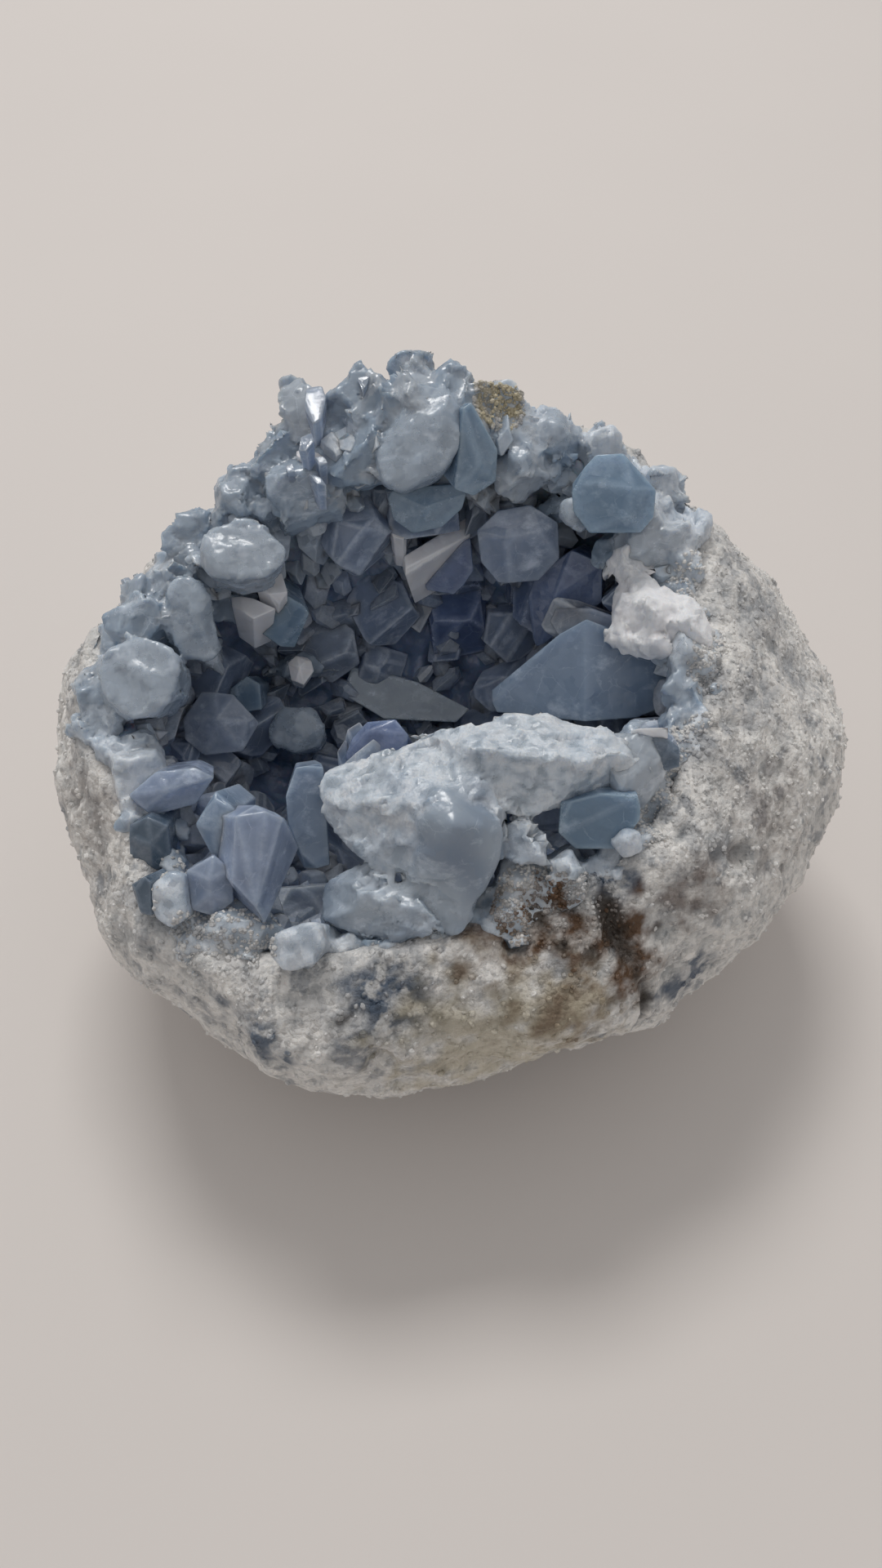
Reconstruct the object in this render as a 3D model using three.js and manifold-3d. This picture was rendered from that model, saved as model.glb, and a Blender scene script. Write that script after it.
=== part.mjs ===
// Celestite geode: a broken-open nodule with a granular rind and a crust of
// pale blue crystals lining its hollow. Millimetres, +Z up, the open side
// leans towards -Y, and the highest part of the rim is at +Y.

import * as THREE from 'three';
import { mergeVertices } from 'three/addons/utils/BufferGeometryUtils.js';
import { ImprovedNoise } from 'three/addons/math/ImprovedNoise.js';
import Module from 'manifold-3d';

const wasm = await Module();
wasm.setup();

// ---------------------------------------------------------------- sizes, mm

const AXIS_X = -1;            // the upright line that the nodule is drawn around
const AXIS_Y = 2;
const GIRTH_HEIGHT = 34;      // height of the widest level
const FLAT_RADIUS = 13;       // the small flat spot that it rests on
const FLOOR_HEIGHT = 14;      // lowest point of the rind's inner wall
const FACE_GAP = 0.3;         // clearance between the rind and the crust
const BED = 4;                // thickness of the bed that the crystals stand on
const RIM_DROP = 2;           // the bed ends this far below the crystals' rim
const RIM_BED = 2.5;          // thickness of the bed where it ends at the rim
const ROOT = 2.5;             // depth of a large crystal's root in the bed
const SMALL_ROOT = 1.6;       // depth of a small crystal's root

const TURNS = 44;             // steps around the axis
const OUTER_STEPS = 13;       // steps up the outside
const INNER_STEPS = 6;        // steps up the inside
const BED_TURNS = 20;         // steps around the bed under the crystals
const BED_STEPS = 5;          // steps up it

// Stations every 22.5 degrees, counter-clockwise from +X.
const GIRTH_RADIUS = [53.3, 56.5, 50.5, 45, 42.5, 43, 46, 49.5, 48.5, 45.3, 45, 43.8, 41.5, 40.7, 42.5, 48.3];
const RIM_RADIUS = [35, 36.5, 37, 30, 27, 27, 31, 36.5, 41.5, 40, 42, 36.5, 32, 31.5, 34, 34];
const RIM_HEIGHT = [55, 59, 65, 72, 77, 75, 67, 60, 53.5, 47.5, 41, 41, 43, 44, 47, 51.5];
const WALL = [14, 14, 10, 8, 8, 8, 8, 7, 7, 7, 7, 8, 9, 9, 10, 12];
const CRYSTAL_COVER = [1.5, 2.5, 5, 5, 5, 6, 7, 7, 5, 2, 1.5, 1, 1, 1, 1, 1];

const LUMP_SIZE = 15;         // spacing of the rind's broad lumps
const LUMP_RISE = 3.2;
const KNOB_SIZE = 7.5;         // spacing of its smaller knobs
const KNOB_RISE = 1.6;

const CRACK_WIDTH = 1.1;      // half the width of the crack at the surface
const CRACK_DEPTH = 2.2;
const CRACK = [
  [[18, -25.5, 45.5], [20.5, -29.5, 39]],
  [[20.5, -29.5, 39], [23.5, -31.5, 33]],
  [[23.5, -31.5, 33], [22.5, -33.5, 26]],
];

// The larger dimples in the rind.
const PITS = [
  { azimuth: 287, height: 43, width: 5 },
  { azimuth: 292, height: 38, width: 3.5 },
  { azimuth: 262, height: 33, width: 6 },
  { azimuth: 330, height: 44, width: 5 },
  { azimuth: 12, height: 45, width: 5 },
  { azimuth: 236, height: 29, width: 5 },
  { azimuth: 178, height: 41, width: 5 },
  { azimuth: 150, height: 44, width: 6 },
  { azimuth: 84, height: 40, width: 6.5 },
  { azimuth: 40, height: 30, width: 6 },
];

const SEED = 11;              // starts the spread of the small crystals
const CROWDING = 0.84;        // how near to each other they stand, 1 is just apart
const WALL_ROWS = 7;          // rows of places for them up the wall
const WALL_PLACES = 22;       // places in each row
const RIM_PLACES = 48;        // places around the rim

const RIND_COLOR = '#b7b0a8';
const CRYSTAL_COLOR = '#7f9bb5';

// ------------------------------------------------------------ small helpers

const noise = new ImprovedNoise();

// A closed curve through evenly spaced stations, read at any azimuth.
function around(stations, azimuth) {
  const count = stations.length;
  const place = (azimuth / (2 * Math.PI)) * count;
  const first = Math.floor(place);
  const t = place - first;
  const at = (k) => stations[(((first + k) % count) + count) % count];
  const bend = 2 * at(-1) - 5 * at(0) + 4 * at(1) - at(2);
  const end = 3 * (at(0) - at(1)) + at(2) - at(-1);
  return at(0) + 0.5 * t * (at(1) - at(-1) + t * (bend + t * end));
}

// A closed solid from a geometry whose corners are shared.
function solid(geometry) {
  const bare = geometry.clone();
  bare.deleteAttribute('normal');
  bare.deleteAttribute('uv');
  const merged = mergeVertices(bare, 1e-4);
  const index = merged.index.array;
  const kept = [];
  for (let i = 0; i < index.length; i += 3) {
    const [a, b, c] = [index[i], index[i + 1], index[i + 2]];
    if (a !== b && b !== c && c !== a) kept.push(a, b, c);
  }
  const vertProperties = new Float32Array(merged.attributes.position.array);
  const triVerts = new Uint32Array(kept);
  return new wasm.Manifold(new wasm.Mesh({ numProp: 3, vertProperties, triVerts }));
}

// The geometry of a finished solid.
function geometryOf(body) {
  const mesh = body.getMesh();
  const geometry = new THREE.BufferGeometry();
  geometry.setAttribute('position', new THREE.BufferAttribute(mesh.vertProperties, 3));
  geometry.setIndex(new THREE.BufferAttribute(mesh.triVerts, 1));
  geometry.computeVertexNormals();
  return geometry;
}

// ------------------------------------------------------- form of the nodule

// Rise and fall of the rind's surface at a point.
function lumpiness(x, y, z) {
  const broad = noise.noise(x / LUMP_SIZE + 7, y / LUMP_SIZE, z / LUMP_SIZE);
  const fine = noise.noise(x / KNOB_SIZE, y / KNOB_SIZE + 3, z / KNOB_SIZE);
  return LUMP_RISE * broad + KNOB_RISE * fine;
}

// Distance from the axis to the outer surface.
function outerRadius(azimuth, height) {
  const girth = around(GIRTH_RADIUS, azimuth);
  if (height <= GIRTH_HEIGHT) {
    const below = (GIRTH_HEIGHT - height) / (GIRTH_HEIGHT + 1);
    return girth * Math.pow(1 - Math.pow(below, 2.2), 1 / 2.2);
  }
  const above = (height - GIRTH_HEIGHT) / (around(RIM_HEIGHT, azimuth) - GIRTH_HEIGHT);
  return girth - (girth - around(RIM_RADIUS, azimuth)) * Math.pow(above, 1.9);
}

// Distance from the axis to the inner wall of the rind, up to its own rim.
function innerRadius(azimuth, height, top) {
  const rise = (height - FLOOR_HEIGHT) / (top - FLOOR_HEIGHT);
  const bowl = Math.pow(1 - Math.pow(1 - rise, 2.3), 1 / 2.3);
  const belly = around(GIRTH_RADIUS, azimuth) - around(WALL, azimuth);
  const mouth = around(RIM_RADIUS, azimuth) - 3;
  const widest = THREE.MathUtils.lerp(belly, mouth, THREE.MathUtils.smoothstep(rise, 0.35, 1));
  return bowl * Math.min(widest, outerRadius(azimuth, height) - 3);
}

function rindTop(azimuth) {
  return around(RIM_HEIGHT, azimuth) - around(CRYSTAL_COVER, azimuth);
}

// A surface of revolution whose rings are given by a function of azimuth and
// ring number, so that each ring can have its own outline.
function ringedBody(rings, turns, pointAt) {
  const profile = [];
  for (let ring = 0; ring < rings; ring += 1) {
    const onAxis = ring === 0 || ring === rings - 1;
    profile.push(new THREE.Vector2(onAxis ? 0 : 1, ring));
  }
  const geometry = new THREE.LatheGeometry(profile, turns);
  const position = geometry.attributes.position;
  for (let i = 0; i < position.count; i += 1) {
    const turn = Math.floor(i / rings) % turns;
    const ring = i % rings;
    const azimuth = (2 * Math.PI * turn) / turns;
    const [radius, height, rough] = pointAt(azimuth, ring);
    const swell = rough ? lumpiness(radius * Math.cos(azimuth), radius * Math.sin(azimuth), height) : 0;
    const reach = radius === 0 ? 0 : radius + swell;
    const x = AXIS_X + reach * Math.cos(azimuth);
    const y = AXIS_Y + reach * Math.sin(azimuth);
    position.setXYZ(i, x, y, height);
  }
  return solid(geometry);
}

// Outer body, filled: flat spot, outside up to the rind's rim, closed over.
function nodule() {
  const rings = OUTER_STEPS + 2;
  return ringedBody(rings, TURNS, (azimuth, ring) => {
    const top = rindTop(azimuth) + 3;
    if (ring === 0) return [0, 0, false];
    if (ring === 1) return [FLAT_RADIUS, 0, false];
    if (ring === rings - 1) return [0, 60, false];
    const climb = (ring - 1) / (OUTER_STEPS - 1);
    const height = top * Math.pow(climb, 1.15);
    return [outerRadius(azimuth, height), height, true];
  });
}

// Everything on the hollow side of the rind: the hollow, and the space above
// the rim. The inset draws it back from the rind.
function hollowSide(inset) {
  const rings = INNER_STEPS + 4;
  return ringedBody(rings, TURNS, (azimuth, ring) => {
    const top = rindTop(azimuth);
    if (ring === 0) return [0, FLOOR_HEIGHT + inset, false];
    if (ring === rings - 1) return [0, 140, false];
    if (ring === rings - 2) return [90, 140, false];
    if (ring === rings - 3) return [90, top + 10 + inset, false];
    const climb = ring / INNER_STEPS;
    const height = FLOOR_HEIGHT + (top - FLOOR_HEIGHT) * Math.pow(climb, 1.3);
    return [innerRadius(azimuth, height, top) - inset, height + inset, false];
  });
}

// A dimple in the outer surface, given by azimuth in degrees and height.
function pit({ azimuth, height, width }) {
  const angle = THREE.MathUtils.degToRad(azimuth);
  const reach = outerRadius(angle, height) + 0.1 * width;
  const scoop = new THREE.IcosahedronGeometry(width / 2, 0).scale(1, 0.8, 1.2);
  scoop.rotateY(height).rotateZ(angle);
  return solid(scoop.translate(AXIS_X + reach * Math.cos(angle), AXIS_Y + reach * Math.sin(angle), height));
}

// One straight stretch of the crack that runs down the front from the rim: a
// wedge that is open outwards.
function crackStretch([from, to]) {
  const start = new THREE.Vector3(...from);
  const run = new THREE.Vector3(...to).sub(start);
  const out = new THREE.Vector3(start.x - AXIS_X, start.y - AXIS_Y, 0).normalize();
  const along = run.clone().normalize();
  const across = new THREE.Vector3().crossVectors(out, along).normalize();
  const depth = new THREE.Vector3().crossVectors(along, across);
  const wedge = new THREE.CylinderGeometry(1, 1, run.length() + 1, 3);
  const basis = new THREE.Matrix4().makeBasis(
    across.multiplyScalar(CRACK_WIDTH),
    along,
    depth.multiplyScalar(CRACK_DEPTH),
  );
  basis.setPosition(start.addScaledVector(run, 0.5));
  if (basis.determinant() < 0) basis.scale(new THREE.Vector3(-1, 1, 1));
  return solid(wedge.applyMatrix4(basis));
}

function rind() {
  let body = nodule().subtract(hollowSide(0));
  for (const one of PITS) body = body.subtract(pit(one));
  for (const one of CRACK) body = body.subtract(crackStretch(one));
  return body;
}

// Distance from the axis to the inner face of the crystals' bed.
function bedRadius(azimuth, height) {
  const top = around(RIM_HEIGHT, azimuth) - RIM_DROP;
  const rise = (height - FLOOR_HEIGHT) / (top - FLOOR_HEIGHT);
  const thick = THREE.MathUtils.lerp(BED, RIM_BED, THREE.MathUtils.smoothstep(rise, 0.5, 1));
  return innerRadius(azimuth, Math.max(height - thick, FLOOR_HEIGHT + 0.01), top) - thick;
}

// The empty space inside the crust's bed, open at the top.
function bedHollow() {
  const rings = BED_STEPS + 4;
  return ringedBody(rings, BED_TURNS, (azimuth, ring) => {
    const top = around(RIM_HEIGHT, azimuth) - RIM_DROP;
    const floor = FLOOR_HEIGHT + BED;
    if (ring === 0) return [0, floor, false];
    if (ring === rings - 1) return [0, 140, false];
    if (ring === rings - 2) return [bedRadius(azimuth, top), 140, false];
    if (ring === rings - 3) return [bedRadius(azimuth, top), top + 1, false];
    const climb = ring / BED_STEPS;
    const height = floor + (top - floor) * Math.pow(climb, 1.3);
    return [Math.max(bedRadius(azimuth, height), 1), height, false];
  });
}

// The massive bed that the crystals stand on.
function crystalBed() {
  const rings = BED_STEPS + 2;
  const filled = ringedBody(rings, BED_TURNS, (azimuth, ring) => {
    const top = around(RIM_HEIGHT, azimuth) - RIM_DROP;
    if (ring === 0) return [0, 1, false];
    if (ring === 1) return [FLAT_RADIUS, 1, false];
    if (ring === rings - 1) return [0, 60, false];
    const climb = (ring - 1) / (BED_STEPS - 1);
    const height = 1 + (top - 1) * Math.pow(climb, 0.8);
    return [outerRadius(azimuth, height), height, false];
  });
  return filled.subtract(bedHollow());
}

// ----------------------------------------------------------- single crystals

// A tapering prism whose tip is cut by the sloping faces of a roof and a
// gable. It spans about -1 to 1 along each axis, with its tip at +Z.
function crystalForm({ sides, skew, taper, roof, gable, shift }) {
  const reach = sides === 4 && !skew ? Math.SQRT2 : 1.15;
  const body = new THREE.CylinderGeometry(reach * taper, reach * 1.05, 2, sides);
  body.rotateY(skew ? 0 : Math.PI / 4).rotateX(Math.PI / 2);
  let form = solid(body);
  if (roof) {
    const faces = new THREE.BoxGeometry(6, 6, 6).rotateX(Math.PI / 4);
    form = form.intersect(solid(faces.translate(0, shift, roof - 3 * Math.SQRT2)));
  }
  if (gable) {
    const faces = new THREE.BoxGeometry(6, 6, 6).rotateY(Math.PI / 4);
    form = form.intersect(solid(faces.translate(-shift, 0, gable - 3 * Math.SQRT2)));
  }
  return geometryOf(form);
}

// A lump of a crystal whose outside has broken away along oblique faces.
function brokenForm() {
  const body = new THREE.CylinderGeometry(0.9, 1.15, 2, 5).rotateX(Math.PI / 2);
  const breaks = new THREE.BoxGeometry(2.1, 4, 1.7).rotateX(0.4).rotateY(0.35);
  return geometryOf(solid(body).intersect(solid(breaks)));
}

const FORMS = {
  chisel: crystalForm({ sides: 4, skew: false, taper: 0.9, roof: 1, gable: 1.5, shift: 0.2 }),
  rhomb: crystalForm({ sides: 4, skew: true, taper: 0.95, roof: 0.95, gable: 1, shift: 0.1 }),
  wedge: crystalForm({ sides: 6, skew: false, taper: 0.95, roof: 1, gable: 0, shift: -0.25 }),
  block: crystalForm({ sides: 6, skew: false, taper: 0.8, roof: 1.35, gable: 0, shift: 0.1 }),
  plate: crystalForm({ sides: 4, skew: false, taper: 1, roof: 1.2, gable: 0, shift: -0.3 }),
  broken: brokenForm(),
};

// A crystal standing at a spot: its size is across, across the other way, and
// from the spot to its tip; the turn is about its own axis, in degrees. Its
// root goes below the spot, into the bed.
function crystal({ spot, aim, size, turn, form, root = ROOT }) {
  const axis = new THREE.Vector3(...aim).normalize();
  const across = new THREE.Vector3(1, 0, 0).addScaledVector(axis, -axis.x).normalize();
  across.applyAxisAngle(axis, THREE.MathUtils.degToRad(turn));
  const other = new THREE.Vector3().crossVectors(axis, across);
  const placed = new THREE.Matrix4().makeBasis(
    across.multiplyScalar(size[0] / 2),
    other.multiplyScalar(size[1] / 2),
    axis.clone().multiplyScalar((size[2] + root) / 2),
  );
  placed.setPosition(new THREE.Vector3(...spot).addScaledVector(axis, (size[2] - root) / 2));
  return solid(FORMS[form].clone().applyMatrix4(placed));
}

// The large crystals of the back wall and the upper rim.
const BACK_CRYSTALS = [
  { spot: [-3.5, 30, 73.5], aim: [0, -0.2, 1], size: [5, 4.5, 4.5], turn: 20, form: 'chisel' },
  { spot: [-9.5, 28, 72], aim: [-0.1, -0.4, 0.9], size: [6.5, 5.5, 4.5], turn: 65, form: 'block' },
  { spot: [-15.5, 26.5, 69.5], aim: [-0.3, -0.3, 0.9], size: [5.5, 9, 5], turn: 10, form: 'block' },
  { spot: [-20, 24, 66], aim: [-0.2, -0.4, 0.9], size: [6, 6, 5], turn: 40, form: 'wedge' },
  { spot: [-2.5, 23, 69.5], aim: [0.1, -0.9, 0.5], size: [11.5, 12.5, 6.5], turn: 12, form: 'block' },
  { spot: [4.5, 24, 67.5], aim: [0.2, -1, 0.2], size: [6.5, 11, 6], turn: 80, form: 'chisel' },
  { spot: [-10.5, 22.5, 68.5], aim: [-0.1, -0.7, 0.7], size: [8, 9, 5], turn: 50, form: 'wedge' },
  { spot: [6.5, 28.5, 70], aim: [0.2, -0.4, 0.9], size: [7, 4.5, 4], turn: 10, form: 'block' },
  { spot: [12.5, 27.5, 67], aim: [0.2, -0.4, 0.9], size: [6.5, 5, 4], turn: 70, form: 'wedge' },
  { spot: [19, 28, 64], aim: [0.2, -0.4, 0.9], size: [6.5, 5.5, 4], turn: 35, form: 'block' },
  { spot: [27, 25.5, 60.5], aim: [0.3, -0.4, 0.9], size: [6, 5.5, 4], turn: 15, form: 'chisel' },
  { spot: [30.5, 20.5, 58], aim: [0.4, -0.4, 0.8], size: [5, 6, 4], turn: 60, form: 'wedge' },
  { spot: [10, 24.5, 64.5], aim: [0, -0.9, 0.3], size: [7, 7, 5.5], turn: 30, form: 'chisel' },
  { spot: [21, 23, 60.5], aim: [-0.5, -0.8, 0.4], size: [12, 10.5, 7.5], turn: 25, form: 'block' },
  { spot: [-2.5, 26.5, 57], aim: [0.1, -1, 0], size: [9.5, 7, 6.5], turn: 5, form: 'chisel' },
  { spot: [-11.5, 25, 56], aim: [0.3, -0.9, 0.1], size: [9.5, 9.5, 7], turn: 55, form: 'block' },
  { spot: [-0.5, 28, 47.5], aim: [-0.1, -0.9, 0.5], size: [10, 8, 8], turn: 20, form: 'chisel' },
  { spot: [9, 27.5, 53], aim: [-0.1, -1, 0.2], size: [10, 9.5, 7], turn: 70, form: 'wedge' },
  { spot: [17, 26.5, 43], aim: [-0.3, -0.9, 0.4], size: [11.5, 14, 8], turn: 75, form: 'block' },
  { spot: [-8, 25.5, 40.5], aim: [0.1, -0.9, 0.4], size: [8.5, 10, 5], turn: 40, form: 'wedge' },
  { spot: [2.5, 26, 37.5], aim: [0.1, -0.9, 0.5], size: [9, 10.5, 5], turn: 10, form: 'chisel' },
  { spot: [10, 25.5, 36], aim: [0, -0.8, 0.5], size: [8, 9.5, 5], turn: 60, form: 'block' },
];

// The crystals of the left wall and rim.
const LEFT_CRYSTALS = [
  { spot: [-16.5, 20, 64.5], aim: [-0.1, -0.6, 0.8], size: [7.5, 8, 6], turn: 15, form: 'chisel' },
  { spot: [-24, 21.5, 62.5], aim: [-0.1, -0.5, 0.9], size: [7, 7, 4.5], turn: 75, form: 'block' },
  { spot: [-25, 17, 58.5], aim: [0.5, -0.8, 0.5], size: [11, 8, 7], turn: 5, form: 'block' },
  { spot: [-31.5, 13, 50.5], aim: [0.5, -0.7, 0.4], size: [9.5, 11, 7.5], turn: 85, form: 'wedge' },
  { spot: [-24.5, 21, 46.5], aim: [0.3, -0.8, 0.4], size: [8, 7, 6.5], turn: 50, form: 'chisel' },
  { spot: [-36.5, 7.5, 54.5], aim: [-0.1, -0.4, 0.9], size: [7.5, 6.5, 4], turn: 30, form: 'block' },
  { spot: [-35.5, 1, 52], aim: [0.1, -0.4, 0.9], size: [10, 8, 5], turn: 10, form: 'wedge' },
  { spot: [-16, 22.5, 36], aim: [0.1, -0.8, 0.6], size: [8.5, 9, 6], turn: 20, form: 'wedge' },
  { spot: [-20, 20, 34], aim: [0.2, -0.7, 0.7], size: [6.5, 5, 7.5], turn: 15, form: 'block' },
  { spot: [-31, 15, 37], aim: [0.5, -0.6, 0.7], size: [9, 8, 7], turn: 65, form: 'chisel' },
  { spot: [-27.5, 12.5, 30], aim: [0.3, -0.5, 0.8], size: [10, 9, 8], turn: 35, form: 'wedge' },
  { spot: [-35.5, 4, 39], aim: [0.5, -0.4, 0.8], size: [9, 7.5, 5.5], turn: 80, form: 'block' },
  { spot: [-20, 15.5, 28], aim: [0.2, -0.6, 0.8], size: [9, 9, 8], turn: 5, form: 'chisel' },
];

// The crystals of the right wall and rim, with the long blade that leans out
// over the hollow.
const RIGHT_CRYSTALS = [
  { spot: [26.5, 17.5, 58], aim: [0, -0.5, 0.9], size: [9, 6, 4.5], turn: 10, form: 'chisel' },
  { spot: [28, 13.5, 50], aim: [-0.4, -0.5, 0.8], size: [13, 11, 7], turn: 30, form: 'block' },
  { spot: [23, 8.5, 44], aim: [-0.7, -0.1, 0.25], size: [9, 13, 14], turn: 20, form: 'chisel' },
  { spot: [25, -9, 50.5], aim: [-0.1, -0.5, 0.9], size: [4.5, 5, 4], turn: 40, form: 'block' },
];

// The broken mass on the front lip, and the crystals around it.
const FRONT_CRYSTALS = [
  { spot: [0.5, -20, 47], aim: [0, -0.6, 0.8], size: [12, 20, 7], turn: 3, form: 'block', root: 6 },
  { spot: [-7, -15, 50], aim: [-0.1, -0.5, 0.8], size: [11, 10, 6], turn: 70, form: 'block', root: 6 },
  { spot: [2.5, -10.5, 50], aim: [0, -0.5, 0.8], size: [15, 11, 7.5], turn: 12, form: 'broken', root: 6 },
  { spot: [13.5, -12.5, 49.5], aim: [0.1, -0.5, 0.9], size: [17, 13, 7.5], turn: -5, form: 'broken', root: 6 },
  { spot: [21, -11, 49], aim: [0.1, -0.4, 0.9], size: [8, 9, 6], turn: 40, form: 'block' },
  { spot: [-5.5, -25.5, 42.5], aim: [0, -0.6, 0.8], size: [14, 8, 4.5], turn: 0, form: 'block' },
  { spot: [17.5, -18, 45.5], aim: [0.1, -0.5, 0.8], size: [11, 7, 5], turn: -5, form: 'block' },
  { spot: [9.5, -21.5, 43], aim: [0, -0.6, 0.8], size: [8, 8, 5], turn: 30, form: 'rhomb' },
  { spot: [-16, -29, 40], aim: [0, -0.6, 0.8], size: [7.5, 6.5, 4], turn: 15, form: 'block' },
  { spot: [-20.5, -19, 37], aim: [0.3, -0.4, 0.8], size: [6, 18, 9], turn: 8, form: 'chisel', root: 6 },
];

// Crystals of the pocket behind the left of the front lip, and along the lip.
const LIP_CRYSTALS = [
  { spot: [-31, -12, 37], aim: [0.6, -0.1, 0.8], size: [9, 8, 6], turn: 30, form: 'wedge' },
  { spot: [-31.5, -22.5, 39.5], aim: [0.2, -0.2, 1], size: [7, 6, 4], turn: 10, form: 'block' },
  { spot: [-35.5, -9, 46], aim: [0.2, -0.2, 1], size: [7, 7, 4], turn: 20, form: 'chisel' },
  { spot: [-23, -26.5, 39], aim: [0, -0.3, 1], size: [8, 6, 3.5], turn: -10, form: 'block' },
  { spot: [-27.5, -27.5, 38.5], aim: [0, -0.3, 1], size: [6, 5, 3], turn: 50, form: 'chisel' },
  { spot: [8, -26.5, 42], aim: [0, -0.4, 1], size: [8, 5.5, 3.5], turn: 15, form: 'rhomb' },
  { spot: [14, -22.5, 43.5], aim: [0, -0.4, 1], size: [6.5, 6, 3.5], turn: 60, form: 'chisel' },
];

// Clear crystals on the floor of the hollow.
const FLOOR_CRYSTALS = [
  { spot: [-5, 16, 25], aim: [0, -0.5, 0.9], size: [17, 7, 8], turn: 10, form: 'plate' },
  { spot: [-8, -9.5, 45], aim: [0, 0.1, 1], size: [9, 9, 6], turn: 50, form: 'chisel', root: 9 },
  { spot: [8, 8, 23], aim: [-0.1, -0.2, 1], size: [11, 9, 6], turn: 20, form: 'wedge' },
];

const LARGE_CRYSTALS = [
  ...BACK_CRYSTALS,
  ...LEFT_CRYSTALS,
  ...RIGHT_CRYSTALS,
  ...FRONT_CRYSTALS,
  ...LIP_CRYSTALS,
  ...FLOOR_CRYSTALS,
];

// ------------------------------------------------------------ small crystals

// A repeatable stream of numbers from 0 to 1.
function numberStream(seed) {
  let state = seed;
  return () => {
    state = (state + 0x6d2b79f5) | 0;
    let mixed = Math.imul(state ^ (state >>> 15), 1 | state);
    mixed = (mixed + Math.imul(mixed ^ (mixed >>> 7), 61 | mixed)) ^ mixed;
    return ((mixed ^ (mixed >>> 14)) >>> 0) / 4294967296;
  };
}

// A point on the inner face of the bed.
function bedPoint(azimuth, height) {
  const reach = bedRadius(azimuth, height);
  const x = AXIS_X + reach * Math.cos(azimuth);
  const y = AXIS_Y + reach * Math.sin(azimuth);
  return new THREE.Vector3(x, y, height);
}

// The direction into the hollow from a point on the bed.
function bedNormal(azimuth, height) {
  const here = bedPoint(azimuth, height);
  const beside = bedPoint(azimuth + 0.02, height).sub(here);
  const above = bedPoint(azimuth, height + 0.5).sub(here);
  return above.cross(beside).normalize();
}

// Crystals that fill the bed and its rim between the large ones.
function smallCrystals() {
  const next = numberStream(SEED);
  const kinds = ['chisel', 'rhomb', 'chisel', 'plate'];
  const found = [];
  const taken = LARGE_CRYSTALS.map(({ spot, size }) => ({
    spot: new THREE.Vector3(...spot),
    reach: (size[0] + size[1]) / 4,
  }));
  const place = (spot, aim, wide, long) => {
    const deep = wide * (0.7 + 0.3 * next());
    const turn = 180 * next();
    const form = kinds[Math.floor(4 * next())];
    aim.x += 0.5 * (next() - 0.5);
    aim.y += 0.5 * (next() - 0.5);
    if (taken.some((other) => spot.distanceTo(other.spot) < CROWDING * (other.reach + wide / 2))) return;
    taken.push({ spot, reach: wide / 2 });
    const size = [wide, deep, long];
    found.push({ spot: spot.toArray(), aim: aim.toArray(), size, turn, form, root: SMALL_ROOT });
  };
  for (let step = 0; step < RIM_PLACES; step += 1) {
    const azimuth = (2 * Math.PI * (step + next())) / RIM_PLACES;
    const height = around(RIM_HEIGHT, azimuth) - RIM_DROP;
    const outward = around(CRYSTAL_COVER, azimuth) > 3 ? 0.5 + 3.5 * next() : 2 * next();
    const spot = bedPoint(azimuth, height);
    spot.x += outward * Math.cos(azimuth);
    spot.y += outward * Math.sin(azimuth);
    const aim = new THREE.Vector3(-0.3 * Math.cos(azimuth), -0.3 * Math.sin(azimuth), 1);
    place(spot, aim, 4.5 + 3 * next(), 2.5 + 2 * next());
  }
  for (let row = 0; row < WALL_ROWS; row += 1) {
    for (let step = 0; step < WALL_PLACES; step += 1) {
      const azimuth = (2 * Math.PI * (step + next())) / WALL_PLACES;
      const top = around(RIM_HEIGHT, azimuth) - RIM_DROP - 1;
      const floor = FLOOR_HEIGHT + BED + 1;
      const height = floor + (top - floor) * Math.pow((row + next()) / WALL_ROWS, 1.4);
      const aim = bedNormal(azimuth, height);
      aim.z += 0.3 * next();
      place(bedPoint(azimuth, height), aim, 7 + 4 * next(), 3.5 + 3.5 * next());
    }
  }
  return found;
}

function crystalCrust() {
  let crust = crystalBed();
  for (const one of [...LARGE_CRYSTALS, ...smallCrystals()]) {
    crust = crust.add(crystal(one));
  }
  return crust.intersect(hollowSide(FACE_GAP));
}

// ---------------------------------------------------------------- the geode

function piece(name, body, color, roughness) {
  const material = new THREE.MeshStandardMaterial({ color, roughness, metalness: 0 });
  const mesh = new THREE.Mesh(geometryOf(body), material);
  mesh.name = name;
  return mesh;
}

const geode = new THREE.Group();
geode.add(piece('rind', rind(), RIND_COLOR, 0.9));
geode.add(piece('crystal_crust', crystalCrust(), CRYSTAL_COLOR, 0.2));

// The origin is on the floor, under the middle of the whole geode.
const extent = new THREE.Box3().setFromObject(geode);
const middle = extent.getCenter(new THREE.Vector3());
geode.position.set(-middle.x, -middle.y, -extent.min.z);

export default geode;
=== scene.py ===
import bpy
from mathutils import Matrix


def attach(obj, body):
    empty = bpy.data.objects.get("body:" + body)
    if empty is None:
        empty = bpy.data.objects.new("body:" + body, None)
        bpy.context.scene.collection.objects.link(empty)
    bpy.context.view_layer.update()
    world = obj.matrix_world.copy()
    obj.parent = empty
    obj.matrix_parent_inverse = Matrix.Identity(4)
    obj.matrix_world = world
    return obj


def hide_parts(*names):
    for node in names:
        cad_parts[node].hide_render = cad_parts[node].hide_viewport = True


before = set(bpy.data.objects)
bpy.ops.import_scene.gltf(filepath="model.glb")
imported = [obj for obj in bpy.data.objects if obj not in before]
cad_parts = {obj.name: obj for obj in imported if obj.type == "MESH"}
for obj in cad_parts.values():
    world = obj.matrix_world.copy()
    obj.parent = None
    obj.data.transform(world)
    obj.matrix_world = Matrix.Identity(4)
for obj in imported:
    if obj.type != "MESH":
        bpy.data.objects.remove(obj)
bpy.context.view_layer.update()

import math
import random

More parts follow.
